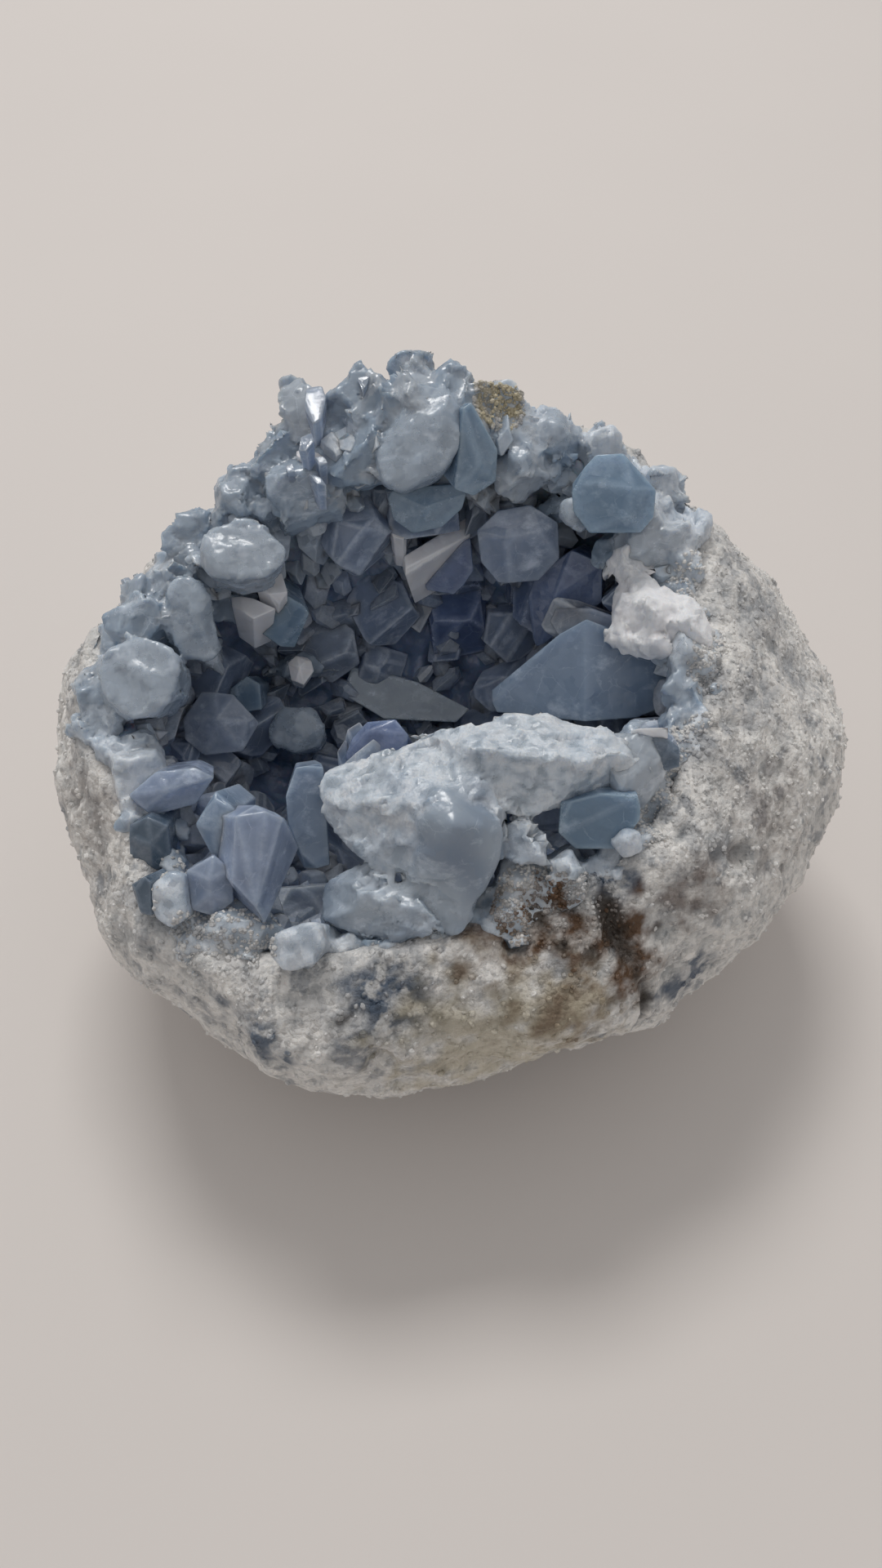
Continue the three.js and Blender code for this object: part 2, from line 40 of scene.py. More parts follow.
import bmesh
import bpy
from mathutils import Matrix, Vector, noise
from mathutils.bvhtree import BVHTree
from mathutils.kdtree import KDTree

bl_info = {
    "name": "Celestite geode",
    "version": (1, 0, 0),
    "blender": (4, 5, 0),
    "location": "3D View > Sidebar > Geode",
    "description": "A broken-open nodule with a granular rind and a hollow of pale blue celestite crystals",
    "category": "Add Mesh",
}

# Lengths below are millimetres in the geode's drawing frame, +Z up, the open
# side leaning towards -Y. The drawing's middle is moved over the origin and
# everything is turned to metres when a piece is finished.

MIDDLE = Vector((2.14, 2.6936, 0.0))
AXIS = Vector((-1.0, 2.0, 0.0))     # the upright line that the nodule is drawn around
GIRTH_HEIGHT = 34.0                 # height of the widest level
FLOOR_HEIGHT = 14.0                 # lowest point of the rind's inner wall
BED = 4.0                           # thickness of the bed that the crystals stand on
RIM_BED = 2.5                       # its thickness at the rim
RIM_DROP = 2.0                      # the bed ends this far below the crystals' rim
FREE_RIM = 3.2                      # only this far below the rim may crystals stand out over the rind
FOOT_HEIGHT = 6.0                   # nothing below this height faces the hollow

# Stations every 22.5 degrees, counter-clockwise from +X.
GIRTH_RADIUS = (53.3, 56.5, 50.5, 45, 42.5, 43, 46, 49.5, 48.5, 45.3, 45, 43.8, 41.5, 40.7, 42.5, 48.3)
RIM_RADIUS = (35, 36.5, 37, 30, 27, 27, 31, 36.5, 41.5, 40, 42, 36.5, 32, 31.5, 34, 34)
RIM_HEIGHT = (55, 59, 65, 72, 77, 75, 67, 60, 53.5, 47.5, 41, 41, 43, 44, 47, 51.5)
WALL = (14, 14, 10, 8, 8, 8, 8, 7, 7, 7, 7, 8, 9, 9, 10, 12)
CRYSTAL_COVER = (1.5, 2.5, 5, 5, 5, 6, 7, 7, 5, 2, 1.5, 1, 1, 1, 1, 1)

# The middling crystals, spread as the solids have them.
SPREAD_SEED = 11
CROWDING = 0.84                     # how near to each other they stand, 1 is just apart
RIM_PLACES = 48                     # places for them around the rim
WALL_ROWS = 7                       # rows of places up the wall
WALL_PLACES = 22                    # places in each row
CHIPS = 4                           # faces broken off a large crystal
JOINT_PLACES = 300                  # places for crystals over the joint of crust and rind

# Small crystals are cloudy above these heights, and clear below them.
OFFSHOOTS_CLOUDY = 50.0
MIDDLING_CLOUDY = 47.0
DRUSE_CLOUDY = 46.0

# Shaped crystals of the front half are kept clear of others by this much.
CLEAR_OF_MIDDLING = 5.5
CLEAR_OF_SMALL = 4.0

# Spacing of the dense meshes, in metres.
RIM_MESH = 0.00038
LUMP_MESH = 0.0004

# The forms that the crystals grow in: the number of sides, whether the section
# stands on its corner, the taper, and the heights of the roof and gable that
# cut the tip, with the offset of their ridges.
HABITS = {
    "chisel": (4, False, 0.9, 1.0, 1.5, 0.2),
    "rhomb": (4, True, 0.95, 0.95, 1.0, 0.1),
    "wedge": (6, False, 0.95, 1.0, None, -0.25),
    "block": (6, False, 0.8, 1.35, None, 0.1),
    "plate": (4, False, 1.0, 1.2, None, -0.3),
}

# Each crystal: spot, direction, size (across, across the other way, spot to
# tip), turn about its own axis in degrees, habit, finish, depth of its root. One
# without a finish only keeps its place, since its corners are listed further on.
BACK_CRYSTALS = (
    ((-3.5, 30, 73.5), (0, -0.2, 1), (5, 4.5, 4.5), 20, "chisel", "pale", 2.5),
    ((-9.5, 28, 72), (-0.1, -0.4, 0.9), (6.5, 5.5, 4.5), 65, "block", "pale", 2.5),
    ((-15.5, 26.5, 69.5), (-0.3, -0.3, 0.9), (5.5, 9, 5), 10, "block", "pale", 2.5),
    ((-20, 24, 66), (-0.2, -0.4, 0.9), (6, 6, 5), 40, "wedge", "pale", 2.5),
    ((-2.5, 23, 69.5), (0.1, -0.9, 0.5), (11.5, 12.5, 6.5), 12, "block", None, 2.5),
    ((4.5, 24, 67.5), (0.2, -1, 0.2), (6.5, 11, 6), 80, "chisel", None, 2.5),
    ((-10.5, 22.5, 68.5), (-0.1, -0.7, 0.7), (8, 9, 5), 50, "wedge", "pale", 2.5),
    ((6.5, 28.5, 70), (0.2, -0.4, 0.9), (7, 4.5, 4), 10, "block", "pale", 2.5),
    ((12.5, 27.5, 67), (0.2, -0.4, 0.9), (6.5, 5, 4), 70, "wedge", "pale", 2.5),
    ((19, 28, 64), (0.2, -0.4, 0.9), (6.5, 5.5, 4), 35, "block", "pale", 2.5),
    ((27, 25.5, 60.5), (0.3, -0.4, 0.9), (6, 5.5, 4), 15, "chisel", "pale", 2.5),
    ((30.5, 20.5, 58), (0.4, -0.4, 0.8), (5, 6, 4), 60, "wedge", "pale", 2.5),
    ((10, 24.5, 64.5), (0, -0.9, 0.3), (7, 7, 5.5), 30, "chisel", "pale", 2.5),
    ((21, 23, 60.5), (-0.5, -0.8, 0.4), (12, 10.5, 7.5), 25, "block", None, 2.5),
    ((-2.5, 26.5, 57), (0.1, -1, 0), (9.5, 7, 6.5), 5, "chisel", "clear", 2.5),
    ((-11.5, 25, 56), (0.3, -0.9, 0.1), (9.5, 9.5, 7), 55, "block", "clear", 2.5),
    ((-0.5, 28, 47.5), (-0.1, -0.9, 0.5), (10, 8, 8), 20, "chisel", None, 2.5),
    ((9, 27.5, 53), (-0.1, -1, 0.2), (10, 9.5, 7), 70, "wedge", "clear", 2.5),
    ((17, 26.5, 43), (-0.3, -0.9, 0.4), (11.5, 14, 8), 75, "block", "deep", 2.5),
    ((-8, 25.5, 40.5), (0.1, -0.9, 0.4), (8.5, 10, 5), 40, "wedge", "clear", 2.5),
    ((2.5, 26, 37.5), (0.1, -0.9, 0.5), (9, 10.5, 5), 10, "chisel", "deep", 2.5),
    ((10, 25.5, 36), (0, -0.8, 0.5), (8, 9.5, 5), 60, "block", "clear", 2.5),
)
LEFT_CRYSTALS = (
    ((-16.5, 20, 64.5), (-0.1, -0.6, 0.8), (7.5, 8, 6), 15, "chisel", "pale", 2.5),
    ((-24, 21.5, 62.5), (-0.1, -0.5, 0.9), (7, 7, 4.5), 75, "block", "pale", 2.5),
    ((-25, 17, 58.5), (0.5, -0.8, 0.5), (11, 8, 7), 5, "block", None, 2.5),
    ((-31.5, 13, 50.5), (0.5, -0.7, 0.4), (9.5, 11, 7.5), 85, "wedge", None, 2.5),
    ((-24.5, 21, 46.5), (0.3, -0.8, 0.4), (8, 7, 6.5), 50, "chisel", None, 2.5),
    ((-36.5, 7.5, 54.5), (-0.1, -0.4, 0.9), (7.5, 6.5, 4), 30, "block", "pale", 2.5),
    ((-35.5, 1, 52), (0.1, -0.4, 0.9), (10, 8, 5), 10, "wedge", None, 2.5),
    ((-16, 22.5, 36), (0.1, -0.8, 0.6), (8.5, 9, 6), 20, "wedge", "clear", 2.5),
    ((-20, 20, 34), (0.2, -0.7, 0.7), (6.5, 5, 7.5), 15, "block", "pale", 2.5),
    ((-31, 15, 37), (0.5, -0.6, 0.7), (9, 8, 7), 65, "chisel", "clear", 2.5),
    ((-27.5, 12.5, 30), (0.3, -0.5, 0.8), (10, 9, 8), 35, "wedge", "clear", 2.5),
    ((-35.5, 4, 39), (0.5, -0.4, 0.8), (9, 7.5, 5.5), 80, "block", None, 2.5),
    ((-20, 15.5, 28), (0.2, -0.6, 0.8), (9, 9, 8), 5, "chisel", None, 2.5),
)
RIGHT_CRYSTALS = (
    ((26.5, 17.5, 58), (0, -0.5, 0.9), (9, 6, 4.5), 10, "chisel", "pale", 2.5),
    ((28, 13.5, 50), (-0.4, -0.5, 0.8), (13, 11, 7), 30, "block", None, 2.5),
    ((23, 8.5, 44), (-0.7, -0.1, 0.25), (9, 13, 14), 20, "chisel", None, 2.5),
    ((25, -9, 50.5), (-0.1, -0.5, 0.9), (4.5, 5, 4), 40, "block", "clear", 2.5),
)
FRONT_CRYSTALS = (
    ((0.5, -20, 47), (0, -0.6, 0.8), (12, 20, 7), 3, "block", None, 6),
    ((-7, -15, 50), (-0.1, -0.5, 0.8), (11, 10, 6), 70, "block", None, 6),
    ((2.5, -10.5, 50), (0, -0.5, 0.8), (15, 11, 7.5), 12, "block", None, 6),
    ((13.5, -12.5, 49.5), (0.1, -0.5, 0.9), (17, 13, 7.5), -5, "block", None, 6),
    ((21, -11, 49), (0.1, -0.4, 0.9), (8, 9, 6), 40, "block", "pale", 2.5),
    ((-5.5, -25.5, 42.5), (0, -0.6, 0.8), (14, 8, 4.5), 0, "block", None, 2.5),
    ((17.5, -18, 45.5), (0.1, -0.5, 0.8), (11, 7, 5), -5, "block", None, 2.5),
    ((9.5, -21.5, 43), (0, -0.6, 0.8), (8, 8, 5), 30, "rhomb", "pale", 2.5),
    ((-16, -29, 40), (0, -0.6, 0.8), (7.5, 6.5, 4), 15, "block", None, 2.5),
    ((-20.5, -19, 37), (0.3, -0.4, 0.8), (6, 18, 9), 8, "chisel", None, 6),
    ((-31, -12, 37), (0.6, -0.1, 0.8), (9, 8, 6), 30, "wedge", None, 2.5),
    ((-31.5, -22.5, 39.5), (0.2, -0.2, 1), (7, 6, 4), 10, "block", None, 2.5),
    ((-35.5, -9, 46), (0.2, -0.2, 1), (7, 7, 4), 20, "chisel", "pale", 2.5),
    ((-23, -26.5, 39), (0, -0.3, 1), (8, 6, 3.5), -10, "block", "pale", 2.5),
    ((-27.5, -27.5, 38.5), (0, -0.3, 1), (6, 5, 3), 50, "chisel", "pale", 2.5),
    ((8, -26.5, 42), (0, -0.4, 1), (8, 5.5, 3.5), 15, "rhomb", "pale", 2.5),
    ((14, -22.5, 43.5), (0, -0.4, 1), (6.5, 6, 3.5), 60, "chisel", "pale", 2.5),
    ((-5, 16, 25), (0, -0.5, 0.9), (17, 7, 8), 10, "plate", None, 2.5),
    ((-8, -9.5, 45), (0, 0.1, 1), (9, 9, 6), 50, "chisel", "clear", 9),
    ((8, 8, 23), (-0.1, -0.2, 1), (11, 9, 6), 20, "wedge", None, 2.5),
)

# Crystals whose faces are known one by one: name, finish and corner points. The
# last corner is the root.
BROKEN_LUMPS = (
    ("slab", "ice", (
        (-3.0, -8.5, 53.0), (-0.9, -9.0, 55.0), (1.7, -9.1, 56.0), (6.6, -8.7, 57.0), (10.2, -8.9, 57.5),
        (13.8, -10.4, 57.5), (17.0, -10.0, 57.0), (20.8, -10.3, 56.0), (22.3, -11.9, 55.3),
        (23.5, -13.7, 53.5), (22.1, -14.7, 50.5), (18.1, -15.4, 50.3), (13.9, -17.3, 50.2),
        (10.3, -18.7, 50.6), (7.4, -18.6, 51.5), (5.5, -17.6, 53.5), (1.8, -15.2, 56.8), (6.1, -14.8, 58.6),
        (10.7, -15.2, 58.8), (15.3, -15.8, 58.2), (20.5, -14.0, 56.0), (0.0, -11.5, 56.5), (-4.0, -2.0, 43.0),
        (25.8, -4.8, 44.0), (10.9, -7.8, 43.0),)),
    ("left lump", "ice", (
        (-13.8, -12.6, 50.5), (-12.6, -11.5, 51.0), (-10.2, -10.7, 52.0), (-6.4, -9.9, 53.5),
        (-1.8, -10.4, 54.5), (-13.7, -17.0, 48.2), (-12.1, -19.2, 47.4), (-9.9, -20.2, 47.0),
        (-6.9, -23.3, 46.8), (-3.6, -24.9, 47.8), (-8.9, -17.0, 53.3), (-3.5, -19.9, 54.9),
        (0.4, -18.0, 56.0), (1.3, -23.1, 55.6), (4.8, -22.2, 54.4), (4.8, -23.9, 51.5), (0.4, -26.0, 49.2),
        (-14.2, -6.0, 39.0), (-4.0, -10.5, 40.0), (4.0, -10.5, 40.0),)),
)
ROUGH_LUMPS = (
    ("rough base", "ice", (
        (-13.8, -23.7, 42.6), (-12.4, -22.2, 44.0), (-10.0, -20.5, 45.2), (-3.6, -24.3, 46.6),
        (-1.8, -26.9, 46.4), (0.5, -29.6, 43.6), (-3.6, -29.8, 41.5), (-8.8, -29.1, 41.2),
        (-13.3, -26.5, 41.6), (-8.0, -25.4, 46.6), (-4.4, -27.8, 46.2), (-5.9, -18.4, 34.0),
        (-10.9, -17.2, 34.0),)),
    ("icy lumps", "ice", (
        (6.7, -20.5, 49.0), (7.4, -17.9, 50.3), (10.0, -18.0, 50.4), (11.9, -20.3, 49.4), (11.5, -22.9, 47.4),
        (8.7, -23.2, 46.6), (7.1, -22.2, 47.4), (9.4, -21.3, 50.8), (10.2, -14.7, 40.0),
        (8.8, -12.5, 41.0),)),
    ("icy prism", "ice", (
        (12.0, -21.7, 47.8), (14.4, -21.3, 48.6), (16.7, -22.8, 47.8), (16.4, -25.5, 45.4),
        (14.5, -26.6, 44.0), (12.5, -25.4, 45.0), (14.3, -24.3, 48.2), (15.6, -17.5, 38.0),
        (14.6, -19.2, 37.0),)),
)
TONGUE = (
    ("tongue", "ice", (
        (-1.6, -15.3, 54.0), (1.9, -14.7, 55.8), (4.6, -16.6, 55.4), (6.3, -19.3, 54.2), (6.9, -21.6, 52.6),
        (6.5, -23.8, 50.0), (4.3, -26.2, 46.6), (3.2, -28.4, 44.2), (1.1, -29.0, 42.4), (-2.3, -26.6, 43.5),
        (-3.6, -24.5, 46.0), (-3.5, -22.3, 50.0), (0.4, -21.3, 54.6), (3.9, -22.7, 53.6), (1.8, -25.4, 49.8),
        (0.5, -9.6, 53.5), (5.5, -11.7, 52.5), (-4.0, -10.5, 40.0), (5.8, -16.5, 40.0), (1.0, -23.1, 36.0),)),
)
FEATURES = (
    ("back dome", "pale", (
        (-7.6, 19.0, 71.9), (-7.3, 15.8, 69.5), (-4.3, 15.0, 68.7), (0.6, 17.0, 70.0), (2.4, 19.1, 71.4),
        (2.7, 23.0, 74.3), (1.2, 25.1, 76.0), (-3.0, 25.4, 76.5), (-5.7, 22.7, 74.6), (-3.7, 20.0, 74.3),
        (-0.5, 20.2, 74.7), (-0.9, 17.1, 72.0), (-4.7, 16.6, 71.2), (-2.8, 25.1, 65.5),)),
    ("below dome", "blue", (
        (-6.8, 21.4, 64.0), (-5.9, 19.5, 60.9), (-3.5, 18.5, 59.5), (0.1, 18.7, 60.3), (2.6, 19.8, 62.3),
        (3.1, 20.7, 63.9), (0.9, 21.5, 65.0), (-4.0, 21.4, 64.5), (-2.0, 19.2, 62.9), (-1.3, 27.0, 58.5),)),
    ("beside dome", "blue", (
        (2.6, 21.9, 75.2), (3.8, 22.5, 75.6), (6.9, 21.2, 69.9), (6.6, 19.5, 66.6), (3.9, 17.9, 65.7),
        (1.6, 17.6, 67.0), (2.5, 19.5, 70.2), (4.8, 19.1, 70.4), (1.3, 26.7, 66.9),)),
    ("lilac lump", "pale", (
        (7.3, 22.0, 68.7), (8.8, 23.1, 69.6), (10.9, 22.6, 69.2), (11.5, 20.7, 67.8), (9.7, 19.8, 67.1),
        (7.8, 20.6, 67.7), (9.3, 20.7, 69.3), (9.3, 25.0, 63.7),)),
    ("grey beside ochre", "pale", (
        (11.3, 25.6, 70.3), (13.0, 28.6, 71.6), (15.6, 27.3, 70.3), (16.0, 24.2, 68.4), (13.3, 23.1, 68.3),
        (11.6, 23.4, 68.9), (13.7, 24.9, 70.8), (12.1, 28.8, 63.9),)),
    ("steel blue", "blue", (
        (18.2, 20.2, 70.0), (21.4, 20.1, 70.3), (23.6, 18.1, 68.6), (25.3, 16.9, 67.5), (25.1, 14.7, 65.2),
        (23.6, 13.6, 63.8), (17.6, 14.0, 63.4), (15.7, 15.8, 65.0), (15.3, 18.3, 67.5), (17.3, 18.8, 68.4),
        (18.6, 17.2, 68.4), (22.4, 16.0, 68.2), (22.0, 14.3, 65.7), (21.4, 23.3, 60.9),)),
    ("right lobe", "pale", (
        (13.9, 19.1, 63.0), (14.8, 19.9, 64.1), (17.0, 19.3, 64.1), (18.2, 17.3, 62.2), (17.1, 16.5, 61.0),
        (14.7, 17.6, 61.4), (15.7, 17.4, 63.4), (17.4, 23.3, 58.3),)),
    ("left dome", "pale", (
        (-28.9, 11.4, 63.3), (-27.5, 13.7, 64.3), (-24.4, 15.3, 64.7), (-20.7, 15.4, 64.3),
        (-18.5, 13.3, 63.1), (-18.2, 11.0, 61.9), (-20.3, 9.0, 61.1), (-24.1, 8.2, 61.1), (-27.5, 8.8, 61.8),
        (-22.9, 11.4, 63.7), (-25.3, 10.8, 63.6), (-24.3, 15.2, 55.9),)),
    ("left blue", "pale", (
        (-32.6, 8.3, 59.3), (-30.8, 10.1, 60.4), (-28.1, 10.3, 59.1), (-26.8, 8.6, 56.3), (-26.4, 5.9, 52.8),
        (-27.6, 4.2, 51.5), (-30.1, 3.4, 52.0), (-32.0, 4.4, 54.3), (-32.6, 6.3, 56.9), (-29.1, 7.1, 57.8),
        (-32.7, 13.3, 50.6),)),
    ("left lilac", "pale", (
        (-40.7, -0.5, 55.0), (-39.1, 2.0, 56.8), (-35.0, 2.6, 57.8), (-31.5, 1.6, 57.5), (-30.1, -0.4, 56.3),
        (-30.8, -3.4, 54.3), (-33.1, -5.5, 52.6), (-37.0, -5.5, 52.1), (-39.9, -3.9, 52.8),
        (-35.4, -1.0, 56.5), (-32.7, -2.5, 55.7), (-34.1, 3.4, 47.8),)),
    ("left wedge", "blue", (
        (-33.4, -2.2, 55.0), (-31.6, 0.9, 56.6), (-30.4, 0.6, 55.2), (-30.5, -1.1, 53.4), (-32.4, -3.5, 52.6),
        (-33.4, -3.7, 53.4), (-36.4, 3.4, 49.9),)),
    # Painted highlights: the frosted white of these two faces stands in for glints of the lamp.
    ("glint upper", "frost", (
        (-23.1, 14.7, 54.1), (-20.1, 17.3, 54.2), (-19.1, 14.1, 53.7), (-20.4, 13.1, 53.7),
        (-21.1, 15.8, 47.0),)),
    ("glint lower", "frost", (
        (-26.5, 14.7, 53.0), (-23.6, 14.3, 52.7), (-20.6, 12.8, 52.3), (-23.3, 11.0, 52.3),
        (-26.2, 13.2, 52.8), (-24.6, 14.1, 45.7),)),
    ("teal prism", "blue", (
        (-23.4, 13.1, 49.9), (-20.7, 14.3, 52.0), (-19.3, 14.8, 52.5), (-16.5, 14.4, 50.5),
        (-18.8, 12.2, 45.7), (-21.2, 12.0, 46.3), (-23.1, 12.5, 48.3), (-19.5, 13.3, 51.8),
        (-21.7, 21.6, 46.4),)),
    ("strip", "clear", (
        (-15.8, 25.9, 75.7), (-13.9, 26.2, 75.7), (-13.3, 24.0, 75.2), (-13.7, 20.9, 74.5),
        (-14.9, 19.9, 74.3), (-15.8, 22.5, 74.9), (-14.6, 24.3, 70.2),)),
    ("strip tail", "clear", (
        (-16.1, 19.6, 73.5), (-14.9, 20.0, 73.5), (-14.5, 18.7, 73.2), (-15.2, 17.0, 72.9),
        (-16.3, 17.2, 73.0), (-15.4, 19.3, 69.3),)),
    ("strip bead", "clear", (
        (-14.7, 18.2, 71.1), (-13.5, 18.4, 71.2), (-13.1, 17.5, 71.0), (-14.1, 16.9, 70.9),
        (-13.9, 18.5, 67.1),)),
    # Painted highlights: the frosted white of the curved chip and the right bar stands in for glints of the
    # lamp.
    ("curved chip", "frost", (
        (-17.2, 21.7, 69.9), (-15.6, 20.8, 69.6), (-13.9, 20.9, 69.6), (-13.8, 20.2, 69.4),
        (-15.7, 19.6, 69.4), (-17.1, 20.7, 69.7), (-15.8, 21.6, 64.7),)),
    ("right bar", "frost", (
        (20.9, -9.3, 56.3), (25.2, -10.8, 57.0), (25.2, -11.5, 56.9), (20.9, -10.0, 56.2),
        (24.1, -9.9, 50.7),)),
    ("right chip", "slate", (
        (23.0, -10.9, 55.0), (24.8, -10.4, 55.2), (26.7, -11.3, 54.1), (26.9, -12.9, 52.5),
        (25.2, -13.3, 52.3), (23.5, -12.5, 53.4), (24.8, -12.2, 54.3), (24.5, -8.4, 50.3),)),
    ("back glint", "clear", (
        (-9.8, 26.1, 76.6), (-8.3, 26.3, 76.6), (-8.6, 24.9, 76.3), (-9.1, 24.1, 76.1), (-8.9, 26.0, 73.5),)),
    ("second glint", "clear", (
        (-15.4, 16.9, 70.1), (-14.1, 16.4, 70.0), (-13.2, 15.2, 69.7), (-14.3, 15.2, 69.7),
        (-14.3, 16.9, 65.0),)),
    ("third glint", "clear", (
        (-18.1, 17.8, 70.3), (-17.3, 18.2, 70.3), (-16.9, 17.1, 70.1), (-17.7, 16.6, 70.0),
        (-17.6, 18.4, 65.3),)),
    ("left glint", "clear", (
        (-39.2, 13.0, 57.2), (-38.2, 13.4, 57.1), (-37.5, 12.4, 56.9), (-38.3, 11.4, 56.9),
        (-38.6, 12.9, 54.6),)),
    ("low glint", "clear", (
        (-7.3, 23.6, 62.7), (-4.6, 23.3, 62.7), (-4.8, 22.6, 62.6), (-6.9, 22.8, 62.5), (-5.7, 24.0, 57.7),)),
    ("pink lump", "frost", (
        (-20.3, 13.3, 42.0), (-19.2, 14.3, 42.4), (-17.3, 14.2, 42.2), (-16.8, 12.6, 41.1),
        (-18.1, 10.9, 40.3), (-19.8, 11.4, 40.8), (-18.5, 12.0, 42.4), (-19.1, 15.2, 37.3),)),
    # Painted highlights: the frosted white of the small glint and the striated face stands in for glints of
    # the lamp.
    ("small glint", "frost", (
        (-6.5, 21.0, 58.1), (-5.3, 21.5, 58.2), (-4.3, 20.5, 58.0), (-4.7, 19.6, 57.8), (-6.0, 19.9, 57.9),
        (-5.3, 21.5, 52.1),)),
    ("striated", "frost", (
        (-5.2, 20.1, 54.0), (-4.7, 17.9, 53.7), (-3.3, 19.3, 54.0), (-1.0, 20.8, 54.3), (1.7, 22.1, 54.6),
        (3.8, 23.7, 54.9), (3.6, 26.8, 55.4), (1.7, 25.1, 55.1), (-0.5, 24.7, 54.9), (-2.5, 22.6, 54.5),
        (-0.4, 23.6, 46.6),)),
    ("under striated", "deep", (
        (-3.4, 21.3, 51.6), (0.0, 22.0, 53.2), (3.9, 22.8, 55.0), (4.3, 21.0, 51.0), (2.2, 19.7, 47.9),
        (-1.9, 19.9, 48.5), (0.8, 28.4, 47.9),)),
    ("grey cluster", "clear", (
        (4.5, 20.9, 57.9), (7.1, 22.1, 60.1), (11.2, 22.5, 60.7), (14.7, 21.4, 58.8), (15.1, 18.8, 54.4),
        (12.5, 17.6, 52.4), (7.3, 17.4, 52.1), (5.0, 18.8, 54.4), (7.3, 19.2, 58.1), (11.7, 19.2, 58.7),
        (10.3, 18.0, 55.1), (9.7, 27.4, 52.1),)),
    ("navy", "deep", (
        (10.9, 18.5, 46.9), (12.2, 20.1, 51.1), (16.6, 20.5, 55.1), (20.5, 18.8, 54.4), (20.7, 16.5, 49.8),
        (17.1, 15.8, 45.8), (12.5, 15.6, 42.2), (14.7, 17.3, 50.1), (18.7, 26.4, 45.2),)),
    ("floor plate", "ice", (
        (-12.3, 20.7, 34.3), (-9.0, 20.1, 33.6), (-4.6, 19.3, 32.8), (4.3, 15.8, 30.0), (2.3, 14.1, 29.0),
        (-8.0, 14.2, 29.7), (-14.2, 17.1, 32.0), (-6.2, 20.6, 26.6),)),
    ("floor wedge", "clear", (
        (5.8, 19.8, 33.8), (11.5, 21.6, 35.2), (14.4, 18.8, 33.1), (12.1, 15.3, 30.5), (6.9, 15.0, 30.2),
        (4.0, 17.0, 31.8), (9.1, 17.9, 34.5), (9.1, 22.1, 27.1),)),
    ("behind slab", "deep", (
        (-11.7, -8.9, 47.9), (-10.5, -6.3, 49.7), (-8.7, -4.8, 51.0), (-5.3, -5.0, 51.7), (-3.6, -7.0, 50.9),
        (-4.1, -9.3, 49.5), (-8.5, -6.3, 51.1), (-6.1, -3.3, 44.3),)),
    ("pocket lump", "pale", (
        (-23.6, 7.9, 35.6), (-21.3, 10.4, 37.1), (-16.9, 10.2, 37.0), (-15.1, 7.7, 35.5), (-15.7, 5.3, 34.0),
        (-19.6, 4.5, 33.6), (-22.8, 5.6, 34.3), (-19.2, 6.8, 37.3), (-19.3, 11.4, 28.6),)),
    ("slate face", "blue", (
        (-28.3, 11.2, 39.0), (-26.2, 12.5, 40.7), (-24.0, 11.4, 39.9), (-23.8, 9.1, 37.4), (-26.1, 9.0, 37.0),
        (-28.1, 9.9, 37.6), (-25.3, 15.6, 33.9),)),
    ("pocket blue", "clear", (
        (-33.0, 4.1, 41.3), (-30.8, 7.0, 43.5), (-26.6, 6.6, 43.2), (-23.2, 3.7, 41.0), (-25.0, 0.8, 38.8),
        (-30.3, 0.3, 38.5), (-32.8, 2.0, 39.7), (-28.3, 2.8, 42.8), (-28.8, 8.2, 34.7),)),
    ("gap blue", "blade", (
        (-17.7, -14.0, 48.6), (-16.5, -11.8, 51.1), (-13.4, -11.2, 51.1), (-13.0, -15.0, 46.0),
        (-12.9, -18.5, 41.3), (-15.9, -19.3, 41.0), (-17.5, -17.2, 44.3), (-16.5, -8.9, 41.5),)),
    ("pocket dark", "slate", (
        (-35.7, -16.6, 46.4), (-33.4, -16.1, 47.5), (-31.1, -16.7, 46.6), (-31.0, -19.1, 42.5),
        (-33.7, -20.1, 40.7), (-36.0, -19.5, 41.4), (-33.0, -18.5, 45.4), (-32.9, -10.3, 39.8),)),
    ("pocket upper", "clear", (
        (-36.2, -13.1, 47.5), (-32.7, -11.4, 49.8), (-28.2, -11.1, 50.2), (-26.0, -11.8, 49.3),
        (-28.3, -13.7, 46.7), (-31.6, -14.5, 45.7), (-35.0, -14.6, 45.5), (-31.1, -13.7, 49.3),
        (-31.1, -7.4, 43.8),)),
    ("pocket pale", "pale", (
        (-32.2, -23.9, 46.0), (-30.4, -23.0, 46.9), (-28.3, -23.3, 47.0), (-27.9, -27.4, 44.0),
        (-30.1, -28.3, 43.0), (-32.1, -27.1, 43.7), (-29.9, -25.8, 45.9), (-29.4, -21.4, 39.6),)),
    ("pocket teal", "slate", (
        (-34.8, -23.9, 45.2), (-33.0, -23.4, 46.5), (-32.1, -24.0, 46.1), (-32.3, -26.6, 42.9),
        (-33.9, -26.4, 42.5), (-31.9, -20.4, 40.8),)),
    ("pocket grey", "blade", (
        (-27.8, -17.3, 47.7), (-25.4, -15.2, 51.2), (-22.8, -16.7, 49.9), (-23.1, -20.7, 44.4),
        (-25.3, -20.7, 43.8), (-26.9, -19.2, 45.5), (-24.8, -18.9, 48.3), (-23.8, -11.3, 41.9),)),
    ("pocket low", "clear", (
        (-28.5, -22.3, 45.8), (-25.9, -20.5, 47.1), (-23.4, -22.0, 45.4), (-23.3, -24.5, 42.8),
        (-25.5, -25.8, 41.8), (-28.2, -25.7, 42.3), (-25.7, -24.3, 45.5), (-26.6, -18.0, 38.8),)),
    ("flake", "clear", (
        (-22.3, -19.4, 52.0), (-19.5, -17.9, 52.3), (-17.5, -18.3, 50.3), (-18.0, -20.2, 47.9),
        (-19.2, -22.7, 44.9), (-20.6, -25.5, 41.7), (-22.3, -25.3, 43.1), (-23.2, -23.9, 45.9),
        (-17.4, -17.5, 49.0), (-16.2, -18.6, 45.0), (-17.5, -22.2, 44.0), (-19.4, -27.5, 42.6),
